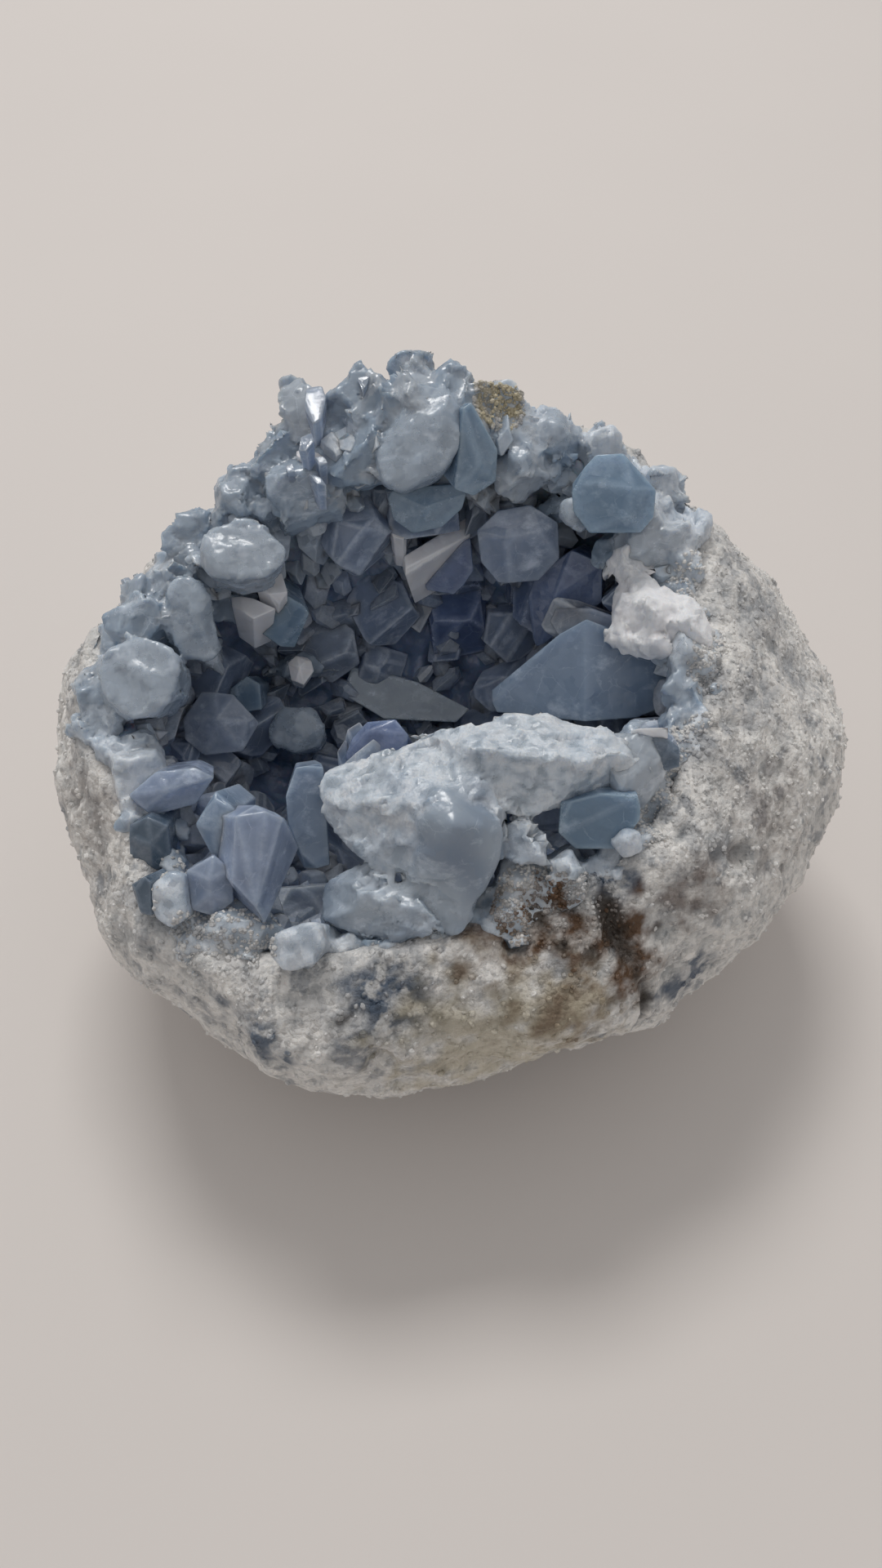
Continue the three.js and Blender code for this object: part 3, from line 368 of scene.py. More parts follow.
        (-20.1, -27.4, 44.4), (-18.2, -20.6, 47.5), (-23.9, -17.6, 43.3),)),
    ("front pale", "pale", (
        (-19.3, -31.6, 43.5), (-18.2, -29.8, 45.0), (-14.8, -29.1, 46.1), (-12.7, -29.4, 46.3),
        (-12.5, -31.6, 44.9), (-13.7, -33.2, 43.5), (-17.2, -33.8, 42.4), (-15.2, -31.1, 45.8),
        (-14.2, -26.7, 38.2),)),
    ("under slab", "blue", (
        (13.1, -17.8, 52.2), (17.4, -17.2, 53.3), (22.0, -17.3, 53.0), (22.0, -18.8, 50.5),
        (19.8, -20.6, 47.5), (15.0, -20.6, 47.5), (13.0, -19.6, 49.2), (17.5, -19.1, 51.6),
        (17.5, -12.0, 46.5),)),
    ("grey lump", "pale", (
        (18.7, -21.4, 49.5), (20.1, -20.0, 50.8), (22.1, -20.2, 50.4), (22.3, -21.8, 48.5),
        (20.2, -22.4, 48.2), (20.3, -21.7, 50.7), (20.0, -16.9, 45.6),)),
)
BLADE = (
    ("blade", "blade", (
        (6.2, 5.8, 44.7), (10.2, 7.2, 48.3), (14.5, 8.5, 52.0), (17.7, 9.0, 54.2), (17.9, 0.5, 44.9),
        (12.7, 2.8, 44.7), (6.6, 3.9, 42.8), (17.6, 8.7, 54.2), (20.9, 7.0, 51.6), (26.2, 6.9, 50.4),
        (30.9, 6.6, 49.2), (34.4, 6.2, 48.1), (32.2, 4.1, 46.1), (28.4, 3.1, 45.6), (24.3, 1.5, 44.4),
        (17.9, 0.7, 44.6), (21.2, 14.2, 40.0),)),
)
CLUMP = (
    ("clump", "frost", (
        (20.1, 10.5, 54.5), (20.9, 12.8, 56.0), (23.5, 13.8, 57.5), (25.8, 12.6, 58.3), (28.0, 9.8, 58.5),
        (28.2, 6.4, 57.8), (27.1, 4.2, 57.0), (24.2, 4.4, 56.0), (21.4, 7.0, 54.5), (23.9, 6.1, 60.0),
        (25.7, 4.5, 59.0), (22.0, 8.5, 57.8), (27.9, 17.1, 46.0),)),
    ("clump right", "frost", (
        (26.9, 9.8, 58.3), (29.8, 9.7, 58.4), (31.3, 7.6, 58.0), (33.0, 4.7, 56.0), (32.4, 2.4, 55.0),
        (30.1, 2.6, 54.0), (27.8, 3.7, 55.0), (26.4, 5.7, 56.5), (29.0, 4.3, 59.2), (30.7, 2.7, 57.4),
        (32.4, 14.1, 46.0),)),
    ("clump low", "frost", (
        (19.3, 7.1, 52.6), (20.0, 7.7, 54.5), (23.0, 6.4, 55.8), (26.7, 5.0, 56.2), (29.0, 3.5, 54.6),
        (28.8, 2.7, 53.6), (25.5, 2.9, 52.8), (21.7, 4.4, 52.4), (23.6, 3.4, 56.0), (27.8, 15.6, 46.0),)),
    ("clump knob", "frost", (
        (19.7, 14.9, 56.5), (20.3, 16.2, 58.0), (22.6, 16.9, 59.0), (25.0, 16.1, 58.8), (25.9, 13.8, 58.2),
        (23.9, 12.5, 57.6), (21.1, 13.5, 56.2), (22.2, 12.9, 59.6), (25.8, 25.9, 48.0),)),
)

# The bluest part of the broken mass.
BLUE_HEART = Vector((2.0, -24.0, 51.0))

# Weathering of the rind, and painted shade over its front: kind, middle, radius, strength.
IRON = (
    ((11.3, -27.2, 43.6), 4.5, 1.0),
    ((7.2, -28.8, 41.8), 6.5, 0.7),
    ((14.4, -29.2, 42.5), 4.5, 0.8),
    ((20.0, -27.7, 41.8), 4.5, 1.0),
    ((21.9, -31.1, 38.8), 4.5, 0.9),
    ((14.3, -36.5, 37.4), 6.5, 0.65),
    ((28.4, -24.3, 43.2), 4.5, 0.5),
    ((39.4, -13.2, 43.6), 7.0, 0.3),
    ((-41.8, -12.2, 42.3), 6.0, 0.3),
)
WINDOWS = (
    ((-5.4, -35.1, 39.5), 5.5, 1.0),
    ((29.0, -28.1, 30.4), 5.0, 0.9),
    ((19.2, -23.5, 45.4), 3.0, 1.0),
    ((-9.8, -38.6, 34.7), 4.0, 0.7),
    ((-19.5, -38.5, 34.5), 3.5, 0.9),
    ((-25.0, -35.0, 35.0), 2.5, 0.8),
    ((-26.0, -30.0, 31.0), 4.0, 0.7),
    ((39.7, 12.4, 53.2), 7.0, 0.45),
    ((37.0, 17.7, 55.3), 5.0, 0.5),
    ((44.0, 8.0, 46.0), 5.0, 0.4),
)
OCHRE = (
    ((6.0, -38.0, 32.0), 12.0, 0.6),
    ((13.0, -36.5, 37.4), 7.0, 0.8),
    ((8.9, -35.3, 38.9), 5.0, 0.6),
    ((6.7, 26.2, 73.3), 4.0, 1.0),
)
DIRT_AND_SHADE = (
    ((8.5, -29.8, 41.6), 0.8, 0.8),
    ((16.8, -30.2, 41.6), 1.1, 0.8),
    ((24.5, -27.5, 41.0), 0.9, 0.7),
    ((-10.5, -36.8, 38.2), 0.7, 0.7),
    # Painted shade: these two wide, faint patches darken the rind's front and lower front, which face away
    # from the light.
    ((-3.0, -37.0, 39.0), 10.0, 0.13),
    ((14.0, -32.0, 41.0), 9.0, 0.12),
    ((11.3, -27.2, 43.6), 1.6, 1.0),
    ((13.5, -30.0, 42.2), 0.9, 1.0),
    ((19.6, -28.2, 41.8), 1.6, 1.0),
    ((21.9, -31.1, 38.8), 1.2, 0.8),
)
# Granular crust over the crystals' feet: middle, radius and number of grains.
CRUSTS = (
    ((7.2, 26.3, 73.3), 3.7, 440),
    ((34.0, 2.0, 53.5), 5.5, 320),
    ((31.0, -10.0, 49.5), 6.0, 340),
    ((33.0, 12.0, 56.0), 5.5, 240),
    ((27.0, -17.0, 47.0), 5.0, 240),
    ((10.5, -26.0, 44.5), 5.0, 560),
    ((16.5, -26.5, 44.0), 4.5, 420),
    ((-24.0, -30.0, 41.0), 7.0, 420),
    ((-33.0, -22.0, 42.0), 5.0, 120),
)
CRACK = ((18, -25.5, 45.5), (20.5, -29.5, 39), (23.5, -31.5, 33), (22.5, -33.5, 26))


# ------------------------------------------------------------- sizes, colours


class GeodeSizes(bpy.types.PropertyGroup):
    voxel: bpy.props.FloatProperty(
        name="Rind detail", description="Spacing of the rind's mesh", default=0.00085, unit="LENGTH")
    lump_rise: bpy.props.FloatProperty(
        name="Lump rise", description="Rise of the rind's lumps of about 5 mm", default=0.0006, unit="LENGTH")
    grain_rise: bpy.props.FloatProperty(
        name="Grain rise", description="Rise of its granules of about 1.3 mm", default=0.0003, unit="LENGTH")
    grain_count: bpy.props.IntProperty(
        name="Loose grains", description="Sugary grains that stand on the rind", default=5200)
    grain_size: bpy.props.FloatProperty(
        name="Grain size", description="Width of a middling grain", default=0.0009, unit="LENGTH")
    edge_wear: bpy.props.FloatProperty(
        name="Edge wear", description="Width of the worn edges of a large crystal", default=0.00018,
        unit="LENGTH")
    druse_count: bpy.props.IntProperty(
        name="Druse crystals", description="Small crystals between the large ones", default=760)
    rim_count: bpy.props.IntProperty(
        name="Rim crystals", description="Small crystals over the joint of crust and rind", default=620)
    seed: bpy.props.IntProperty(name="Seed", description="Starts every spread", default=11)


class GeodeColours(bpy.types.PropertyGroup):
    rind_pale: bpy.props.StringProperty(
        name="Rind, pale", description="Colour of the sugary rind", default="#f3f1ed")
    rind_grey: bpy.props.StringProperty(
        name="Rind, grey", description="Colour of its hollows", default="#949799")
    rind_blue: bpy.props.StringProperty(
        name="Rind, blue", description="Colour where celestite shows through", default="#3d4f64")
    iron: bpy.props.StringProperty(
        name="Iron stain", description="Colour of the iron stain", default="#5c4129")
    ochre: bpy.props.StringProperty(name="Ochre", description="Colour of the ochre tint", default="#bdb296")
    dirt_and_shade: bpy.props.StringProperty(name="Dirt", description="Colour of the soil in cracks", default="#2c231b")


class GeodeStage(bpy.types.PropertyGroup):
    floor_colour: bpy.props.StringProperty(name="Floor", description="Colour of the floor", default="#d8d2ce")
    floor_width: bpy.props.FloatProperty(
        name="Floor width", description="Side of the floor", default=3.0, unit="LENGTH")
    key_power: bpy.props.FloatProperty(
        name="Key light", description="Watts of the large soft light", default=9.6)
    ambient: bpy.props.FloatProperty(
        name="Ambient", description="Strength of the soft surround", default=0.565)
    key_place: bpy.props.FloatVectorProperty(
        name="Key light, place", description="Middle of the large soft light", default=(-0.15, 0.735, 1.3),
        subtype="TRANSLATION", unit="LENGTH")
    key_size: bpy.props.FloatVectorProperty(
        name="Key light, size", description="Width and depth of the large soft light", default=(0.55, 0.4),
        size=2, unit="LENGTH")
    camera_place: bpy.props.FloatVectorProperty(
        name="Camera, place", description="Where the camera stands", default=(-0.00213, -0.10121, 0.15908),
        subtype="TRANSLATION", unit="LENGTH")
    camera_tilt: bpy.props.FloatProperty(
        name="Camera, tilt", description="How far the camera looks up from straight down",
        default=math.radians(38.0), subtype="ANGLE")
    lens: bpy.props.FloatProperty(name="Lens", description="Focal length in millimetres", default=28.0)


# -------------------------------------------------------------------- helpers


def around(stations, azimuth):
    """A closed curve through evenly spaced stations, read at any azimuth."""
    count = len(stations)
    place = azimuth / (2 * math.pi) * count
    first = math.floor(place)
    t = place - first
    before, here, after, far = (stations[(first + k) % count] for k in (-1, 0, 1, 2))
    bend = 2 * before - 5 * here + 4 * after - far
    end = 3 * (here - after) + far - before
    return here + 0.5 * t * (after - before + t * (bend + t * end))


def smooth(value, low, high):
    """A soft step from 0 at the low value to 1 at the high one."""
    t = min(max((value - low) / (high - low), 0.0), 1.0)
    return t * t * (3 - 2 * t)


def mixed(a, b, t):
    """The value a share t of the way from a to b."""
    return a + (b - a) * t


def outer_radius(azimuth, height):
    """Distance from the axis to the outer surface."""
    girth = around(GIRTH_RADIUS, azimuth)
    if height <= GIRTH_HEIGHT:
        below = (GIRTH_HEIGHT - height) / (GIRTH_HEIGHT + 1)
        return girth * (1 - below ** 2.2) ** (1 / 2.2)
    above = (height - GIRTH_HEIGHT) / (around(RIM_HEIGHT, azimuth) - GIRTH_HEIGHT)
    return girth - (girth - around(RIM_RADIUS, azimuth)) * above ** 1.9


def inner_radius(azimuth, height, top):
    """Distance from the axis to the inner wall of the rind."""
    rise = (height - FLOOR_HEIGHT) / (top - FLOOR_HEIGHT)
    bowl = (1 - max(1 - rise, 0.0) ** 2.3) ** (1 / 2.3)
    belly = around(GIRTH_RADIUS, azimuth) - around(WALL, azimuth)
    mouth = around(RIM_RADIUS, azimuth) - 3
    widest = mixed(belly, mouth, smooth(rise, 0.35, 1))
    return bowl * min(widest, outer_radius(azimuth, height) - 3)


def bed_radius(azimuth, height):
    """Distance from the axis to the inner face of the crystals' bed."""
    top = around(RIM_HEIGHT, azimuth) - RIM_DROP
    rise = (height - FLOOR_HEIGHT) / (top - FLOOR_HEIGHT)
    thick = mixed(BED, RIM_BED, smooth(rise, 0.5, 1))
    return inner_radius(azimuth, max(height - thick, FLOOR_HEIGHT + 0.01), top) - thick


def at(azimuth, reach, height):
    """The point at an azimuth, a distance from the axis and a height."""
    return Vector((AXIS.x + reach * math.cos(azimuth), AXIS.y + reach * math.sin(azimuth), height))


def bed_point(azimuth, height):
    return at(azimuth, bed_radius(azimuth, height), height)


def lining_radius(azimuth, height):
    """Distance from the axis to the face that shows between the crystals: the
    bed's, and in front of the rind's inner wall wherever that stands forward."""
    top = around(RIM_HEIGHT, azimuth) - around(CRYSTAL_COVER, azimuth)
    wall = inner_radius(azimuth, min(height, top), top)
    return max(min(bed_radius(azimuth, height), wall - 1.6), 1.0)


def bed_normal(azimuth, height):
    """The direction into the hollow from a point on the bed."""
    here = bed_point(azimuth, height)
    beside = bed_point(azimuth + 0.02, height) - here
    above = bed_point(azimuth, height + 0.5) - here
    return above.cross(beside).normalized()


def number_stream(seed):
    """A repeatable stream of numbers from 0 to 1, the same as the solids' own."""
    full = 0xFFFFFFFF
    state = seed
    while True:
        state = (state + 0x6D2B79F5) & full
        mix = ((state ^ (state >> 15)) * (1 | state)) & full
        mix = ((mix + ((mix ^ (mix >> 7)) * (61 | mix) & full)) ^ mix) & full
        yield ((mix ^ (mix >> 14)) & full) / 4294967296


def jitter(rng, much):
    """A random step of up to so much along each axis."""
    return Vector([rng.uniform(-much, much) for _ in range(3)])


def outward(azimuth):
    """The level direction away from the axis."""
    return Vector((math.cos(azimuth), math.sin(azimuth), 0))


def middle_of(corners):
    """The middle of a shaped crystal's front corners."""
    return sum((Vector(corner) for corner in corners[:-1]), Vector()) / (len(corners) - 1)


def linear(colour):
    """A linear RGBA colour from an sRGB hex value."""
    channels = [int(colour[i:i + 2], 16) / 255 for i in (1, 3, 5)]
    return [c / 12.92 if c <= 0.04045 else ((c + 0.055) / 1.055) ** 2.4 for c in channels] + [1.0]


def start_crystals():
    """An empty mesh whose corners know their place in their crystal, in mm,
    how far they are from root to tip, how frosted they are, and their
    crystal's own tone."""
    bm = bmesh.new()
    bm.verts.layers.float_vector.new("crystal_axes")
    bm.verts.layers.float.new("tip")
    bm.verts.layers.float.new("tone")
    bm.verts.layers.float.new("frosting")
    return bm


def close_cut(bm):
    """Closes a mesh again after a plane has cut a part off."""
    open_edges = [edge for edge in bm.edges if edge.is_boundary]
    if open_edges:
        bmesh.ops.holes_fill(bm, edges=open_edges, sides=0)


def cut(bm, point, normal):
    """Cuts off what lies beyond a plane."""
    bmesh.ops.bisect_plane(
        bm, geom=bm.verts[:] + bm.edges[:] + bm.faces[:], dist=1e-5,
        plane_co=point, plane_no=normal, clear_outer=True, clear_inner=False)
    close_cut(bm)


def room_for_band(face):
    """The widest inset that a convex face has room for."""
    corners = []
    for loop in face.loops:
        half_angle = loop.calc_angle() / 2
        corners.append(1 / math.tan(max(half_angle, 0.05)))
    room = 99.0
    for place, loop in enumerate(face.loops):
        room = min(room, loop.edge.calc_length() / (corners[place] + corners[(place + 1) % len(corners)]))
    return room


def wear_edges(bm, wear, segments, frost, band=0.0):
    """Rounds every sharp edge and frosts the rounding. With a band the frost
    fades out over that width of the faces beside it."""
    if wear <= 0:
        return
    for face in bm.faces[:] if band > 0 else []:
        width = min(band, 0.7 * room_for_band(face))
        if width > 1.5 * wear:
            bmesh.ops.inset_individual(bm, faces=[face], thickness=width, depth=0.0, use_even_offset=True)
    sharp = [edge for edge in bm.edges if edge.calc_face_angle(0.0) > 0.12]
    made = bmesh.ops.bevel(
        bm, geom=sharp, offset=wear, offset_type="OFFSET", segments=segments,
        profile=0.5, affect="EDGES", clamp_overlap=True, material=-1)
    frosting = bm.verts.layers.float["frosting"]
    for face in made["faces"]:
        for vert in face.verts:
            vert[frosting] = frost


def grow(habit, size, root, rng, chips, wear, segments=1):
    """One closed crystal at the origin with its tip up, in millimetres."""
    sides, cornered, taper, roof, gable, shift = HABITS[habit]
    reach = math.sqrt(2) if sides == 4 and not cornered else 1.15
    bm = start_crystals()
    bmesh.ops.create_cone(
        bm, cap_ends=True, cap_tris=False, segments=sides,
        radius1=reach * 1.05, radius2=reach * taper, depth=2)
    turn = 0.0 if cornered else math.radians(45 if sides == 4 else -15)
    bmesh.ops.rotate(bm, verts=bm.verts, cent=(0, 0, 0), matrix=Matrix.Rotation(turn, 3, "Z"))
    for side in (1, -1):
        cut(bm, (0, shift, roof), (0, side, 1))
        if gable is not None:
            cut(bm, (-shift, 0, gable), (side, 0, 1))
    for _ in range(chips):
        bearing = rng.uniform(0, 2 * math.pi)
        lift = rng.choice((0.0, 0.1, 0.35, 0.8, 1.3))
        normal = Vector((math.cos(bearing), math.sin(bearing), lift)).normalized()
        reached = max(vert.co.dot(normal) for vert in bm.verts)
        cut(bm, normal * (reached - rng.uniform(0.04, 0.2)), normal)
    bmesh.ops.scale(bm, verts=bm.verts, vec=(size[0] / 2, size[1] / 2, (size[2] + root) / 2))
    bmesh.ops.translate(bm, verts=bm.verts, vec=(0, 0, (size[2] - root) / 2))
    if wear > 0.1:
        rough, bm = bm, hull_of([vert.co.copy() for vert in bm.verts], 0.1 * min(size))
        rough.free()
    bmesh.ops.dissolve_degenerate(bm, dist=0.02, edges=bm.edges)
    wear_edges(bm, wear, segments, 0.32, 0.13 * min(size[0], size[1]) if wear > 0.1 else 0.0)
    axes = bm.verts.layers.float_vector["crystal_axes"]
    tip = bm.verts.layers.float["tip"]
    tone = bm.verts.layers.float["tone"]
    away = jitter(rng, 200)
    own = rng.random()
    for vert in bm.verts:
        vert[axes] = vert.co + away
        vert[tip] = min(max((vert.co.z + root * 0.5) / (size[2] + root * 0.5), 0.0), 1.0)
        vert[tone] = own
    return bm


def hull_of(corners, least=0.0, flat=9.0):
    """The closed hull around corner points, leaving out any that lies nearer
    than the least distance to one before it, with faces that meet at less
    than flat degrees made one."""
    bm = start_crystals()
    kept = []
    for corner in corners:
        if all((Vector(corner) - other).length >= least for other in kept):
            kept.append(Vector(corner))
            bm.verts.new(corner)
    hull = bmesh.ops.convex_hull(bm, input=bm.verts[:], use_existing_faces=False)
    unused = hull["geom_interior"] + hull["geom_unused"]
    spare = {item for item in unused if isinstance(item, bmesh.types.BMVert)}
    bmesh.ops.delete(bm, geom=list(spare), context="VERTS")
    bmesh.ops.recalc_face_normals(bm, faces=bm.faces)
    bmesh.ops.dissolve_limit(
        bm, angle_limit=math.radians(flat), verts=bm.verts, edges=bm.edges, use_dissolve_boundaries=False)
    return bm


def deepened(corners):
    """The corners of a crystal's front faces and of its hidden back, which is
    smaller and lies around the root."""
    front, root = [Vector(corner) for corner in corners[:-1]], Vector(corners[-1])
    return front + [root + (corner - middle_of(corners)) * 0.75 for corner in front]


def shaped(corners, rng, wear, segments, frost):
    """One closed crystal behind its front corners, in drawing millimetres."""
    bm = hull_of(deepened(corners))
    root = Vector(corners[-1])
    extent = max((Vector(a) - Vector(b)).length for a in corners[:-1] for b in corners[:-1])
    share = min(extent / 6, 1.0)
    for _ in range(3):
        bearing = jitter(rng, 1) + (Vector(corners[0]) - root).normalized()
        bearing.normalize()
        reached = max(vert.co.dot(bearing) for vert in bm.verts)
        cut(bm, bearing * (reached - rng.uniform(0.2, 0.7) * share), bearing)
    rough, bm = bm, hull_of([vert.co.copy() for vert in bm.verts], share, 18.0)
    rough.free()
    wear_edges(bm, wear * share, segments, frost, 1.1 * share)
    growth = (middle_of(corners) - root).normalized()
    axes = bm.verts.layers.float_vector["crystal_axes"]
    tip = bm.verts.layers.float["tip"]
    tone = bm.verts.layers.float["tone"]
    away = jitter(rng, 200)
    own = 0.5 * rng.random()
    reach = max((vert.co - root).dot(growth) for vert in bm.verts)
    turned = growth.to_track_quat("Z", "Y").to_matrix().inverted()
    for vert in bm.verts:
        vert[axes] = turned @ (vert.co - root) + away
        vert[tip] = smooth((vert.co - root).dot(growth), 0.25 * reach, reach)
        vert[tone] = own
    return bm


def standing(spot, aim, turn):
    """The matrix that stands a crystal at its spot."""
    axis = Vector(aim).normalized()
    across = (Vector((1, 0, 0)) - axis * axis.x).normalized()
    across.rotate(Matrix.Rotation(math.radians(turn), 3, axis))
    other = axis.cross(across)
    basis = Matrix((across, other, axis)).transposed()
    return Matrix.Translation(Vector(spot)) @ basis.to_4x4()


def add_to(bm, part, matrix, finish=0):
    """Moves a finished part into place and adds it to a larger mesh."""
    bmesh.ops.transform(part, matrix=matrix, verts=part.verts)
    for face in part.faces:
        face.material_index = finish
    carrier = bpy.data.meshes.new("carrier")
    part.to_mesh(carrier)
    part.free()
    bm.from_mesh(carrier)
    bpy.data.meshes.remove(carrier)


def finish_piece(name, bm, materials, stands_for, smoothed=False, crisp=False):
    """Turns a mesh in drawing millimetres into a piece of the geode in metres.
    A crisp one is smooth over its worn edges and flat on its faces."""
    place = Matrix.Scale(0.001, 4) @ Matrix.Translation(-MIDDLE)
    bmesh.ops.transform(bm, matrix=place, verts=bm.verts)
    mesh = bpy.data.meshes.new(name)
    bm.to_mesh(mesh)
    bm.free()
    for material in materials:
        mesh.materials.append(material)
    if smoothed or crisp:
        mesh.shade_smooth()
    else:
        mesh.shade_flat()
    piece = bpy.data.objects.new(name, mesh)
    bpy.context.scene.collection.objects.link(piece)
    if crisp:
        flat = piece.modifiers.new("Flat faces", "WEIGHTED_NORMAL")
        flat.weight = 100
    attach(piece, "root")
    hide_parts(stands_for)
    return piece


def soften(bm, times, factor=0.5):
    """Evens out a dense mesh."""
    for _ in range(times):
        bmesh.ops.smooth_vert(
            bm, verts=bm.verts, factor=factor, use_axis_x=True, use_axis_y=True, use_axis_z=True)


def in_order(bm):
    """Sorts a mesh's edges and faces by their corners, since turning a line
    around an axis makes them in another order each time."""
    bm.verts.index_update()
    count = len(bm.verts)

    def place(part):
        number = 0
        for index in sorted(vert.index for vert in part.verts)[:3]:
            number = number * count + index
        return number

    bm.edges.sort(key=place)
    bm.faces.sort(key=place)


def remeshed(bm, voxel):
    """One skin around everything in a mesh, with even faces, as a new mesh."""
    mesh = bpy.data.meshes.new("blank")
    bm.to_mesh(mesh)
    bm.free()
    blank = bpy.data.objects.new("blank", mesh)
    bpy.context.scene.collection.objects.link(blank)
    modifier = blank.modifiers.new("Even faces", "REMESH")
    modifier.mode = "VOXEL"
    modifier.voxel_size = voxel
    modifier.adaptivity = 0.0
    graph = bpy.context.evaluated_depsgraph_get()
    result = bpy.data.meshes.new_from_object(blank.evaluated_get(graph))
    bpy.data.objects.remove(blank)
    bpy.data.meshes.remove(mesh)
    even = bmesh.new()
    even.from_mesh(result)
    bpy.data.meshes.remove(result)
    return even


def one_skin(bm, voxel):
    """One skin around everything in a mesh in millimetres; the spacing is in metres."""
    bmesh.ops.scale(bm, verts=bm.verts, vec=(0.001, 0.001, 0.001))
    skin = remeshed(bm, voxel)
    bmesh.ops.scale(skin, verts=skin.verts, vec=(1000, 1000, 1000))
    return skin


def patch(spots, point, ragged):
    """How strongly any of the patches shows at a point, from 0 to 1."""
    best = 0.0
    for middle, radius, strength in spots:
        away = (point - Vector(middle)).length + ragged * radius
        best = max(best, strength * (1 - smooth(away, 0.35 * radius, 1.25 * radius)))
    return best


def from_crack(point):
    """Distance from a point to the crack's line."""
    nearest = 99.0
    for start, end in zip(CRACK, CRACK[1:]):
        start, run = Vector(start), Vector(end) - Vector(start)
        t = min(max((point - start).dot(run) / run.length_squared, 0.0), 1.0)
        nearest = min(nearest, (point - start - run * t).length)
    return nearest


# ------------------------------------------------------------------ materials


def add(tree, kind, settings=None, values=None, links=None):
    """Adds a node with its settings, input values and links from other nodes."""
    made = tree.nodes.new(kind)
    for key, value in (settings or {}).items():
        setattr(made, key, value)
    for key, value in (values or {}).items():
        made.inputs[key].default_value = value
    for key, (source, output) in (links or {}).items():
        tree.links.new(source.outputs[output], made.inputs[key])
    return made


def blank_material(name):
    """A new material without nodes, and its node tree."""
    material = bpy.data.materials.new(name)
    material.use_nodes = True
    material.node_tree.nodes.clear()
    return material, material.node_tree


def granular_rind():
    """Weathered granular celestite: sugary, matt and pale, greyer and bluer in
    its hollows, with iron and ochre stains and soil in the cracks, and faint
    painted shade in the soil's colour over its front."""
    colours = bpy.context.scene.geode_colours
    material, tree = blank_material("Granular celestite, weathered")
    place = add(tree, "ShaderNodeTexCoord")
    # Lumps of about 6 mm, granules of about 1.2 mm and sugar of about 0.7 mm.
    lumps = add(
        tree, "ShaderNodeTexNoise", {}, {"Scale": 170.0, "Detail": 4.0, "Roughness": 0.6},
        {"Vector": (place, "Object")})
    granules = add(
        tree, "ShaderNodeTexNoise", {}, {"Scale": 800.0, "Detail": 3.0, "Roughness": 0.65},
        {"Vector": (place, "Object")})
    sugar = add(tree, "ShaderNodeTexVoronoi", {}, {"Scale": 1500.0}, {"Vector": (place, "Object")})
    weather_and_shade = add(tree, "ShaderNodeAttribute", {"attribute_name": "weathering_and_shade"})
    parts = add(tree, "ShaderNodeSeparateColor", {}, {}, {"Color": (weather_and_shade, "Color")})
    hollow = add(tree, "ShaderNodeAttribute", {"attribute_name": "hollow"})
    pale = add(
        tree, "ShaderNodeMix", {"data_type": "RGBA"},
        {6: linear(colours.rind_pale), 7: linear("#cbc8c5")}, {0: (lumps, "Fac")})
    # Every granule of sugar is a little darker or paler than the next.
    shades = add(tree, "ShaderNodeSeparateColor", {}, {}, {"Color": (sugar, "Color")})
    shade = add(tree, "ShaderNodeMapRange", {}, {"To Min": 0.89, "To Max": 1.16}, {"Value": (shades, "Red")})
    shaded = add(
        tree, "ShaderNodeVectorMath", {"operation": "SCALE"}, {}, {0: (pale, 2), "Scale": (shade, "Result")})
    deep = add(
        tree, "ShaderNodeMapRange", {}, {"From Min": 0.5, "From Max": 0.68}, {"Value": (granules, "Fac")})
    deeper = add(
        tree, "ShaderNodeMath", {"operation": "MULTIPLY_ADD", "use_clamp": True},
        {1: 0.5}, {0: (deep, "Result"), 2: (hollow, "Fac")})
    grey = add(
        tree, "ShaderNodeMix", {"data_type": "RGBA"}, {7: linear(colours.rind_grey)},
        {0: (deeper, "Value"), 6: (shaded, "Vector")})
    # Spots of 2 to 3 mm where the bluer inside shows, gathered in swarms.
    dots = add(
        tree, "ShaderNodeTexNoise", {}, {"Scale": 380.0, "Detail": 3.0, "Roughness": 0.6},
        {"Vector": (place, "Object")})
    swarm = add(
        tree, "ShaderNodeMapRange", {}, {"From Min": 0.4, "From Max": 0.65, "To Max": 0.14},
        {"Value": (lumps, "Fac")})
    gathered = add(tree, "ShaderNodeMath", {"operation": "ADD"}, {}, {0: (dots, "Fac"), 1: (swarm, "Result")})
    blue_spots = add(
        tree, "ShaderNodeMapRange", {}, {"From Min": 0.62, "From Max": 0.74, "To Max": 0.5},
        {"Value": (gathered, "Value")})
    # White veins break up the larger windows.
    veined = add(
        tree, "ShaderNodeMapRange", {}, {"From Min": 0.4, "From Max": 0.5, "To Min": 0.4},
        {"Value": (dots, "Fac")})
    window = add(
        tree, "ShaderNodeMath", {"operation": "MULTIPLY", "use_clamp": True}, {},
        {0: (parts, "Green"), 1: (veined, "Result")})
    blue_share = add(
        tree, "ShaderNodeMath", {"operation": "MAXIMUM"}, {},
        {0: (blue_spots, "Result"), 1: (window, "Value")})
    blued = add(
        tree, "ShaderNodeMix", {"data_type": "RGBA"}, {7: linear(colours.rind_blue)},
        {0: (blue_share, "Value"), 6: (grey, 2)})
    ochred = add(
        tree, "ShaderNodeMix", {"data_type": "RGBA"}, {7: linear(colours.ochre)},
        {0: (weather_and_shade, "Alpha"), 6: (blued, 2)})
    rusty = add(
        tree, "ShaderNodeMapRange", {}, {"From Min": 0.35, "From Max": 0.6, "To Min": 0.35, "To Max": 1.15},
        {"Value": (dots, "Fac")})
    iron_share = add(
        tree, "ShaderNodeMath", {"operation": "MULTIPLY", "use_clamp": True}, {},
        {0: (parts, "Red"), 1: (rusty, "Result")})
    stained = add(
        tree, "ShaderNodeMix", {"data_type": "RGBA"}, {7: linear(colours.iron)},
        {0: (iron_share, "Value"), 6: (ochred, 2)})
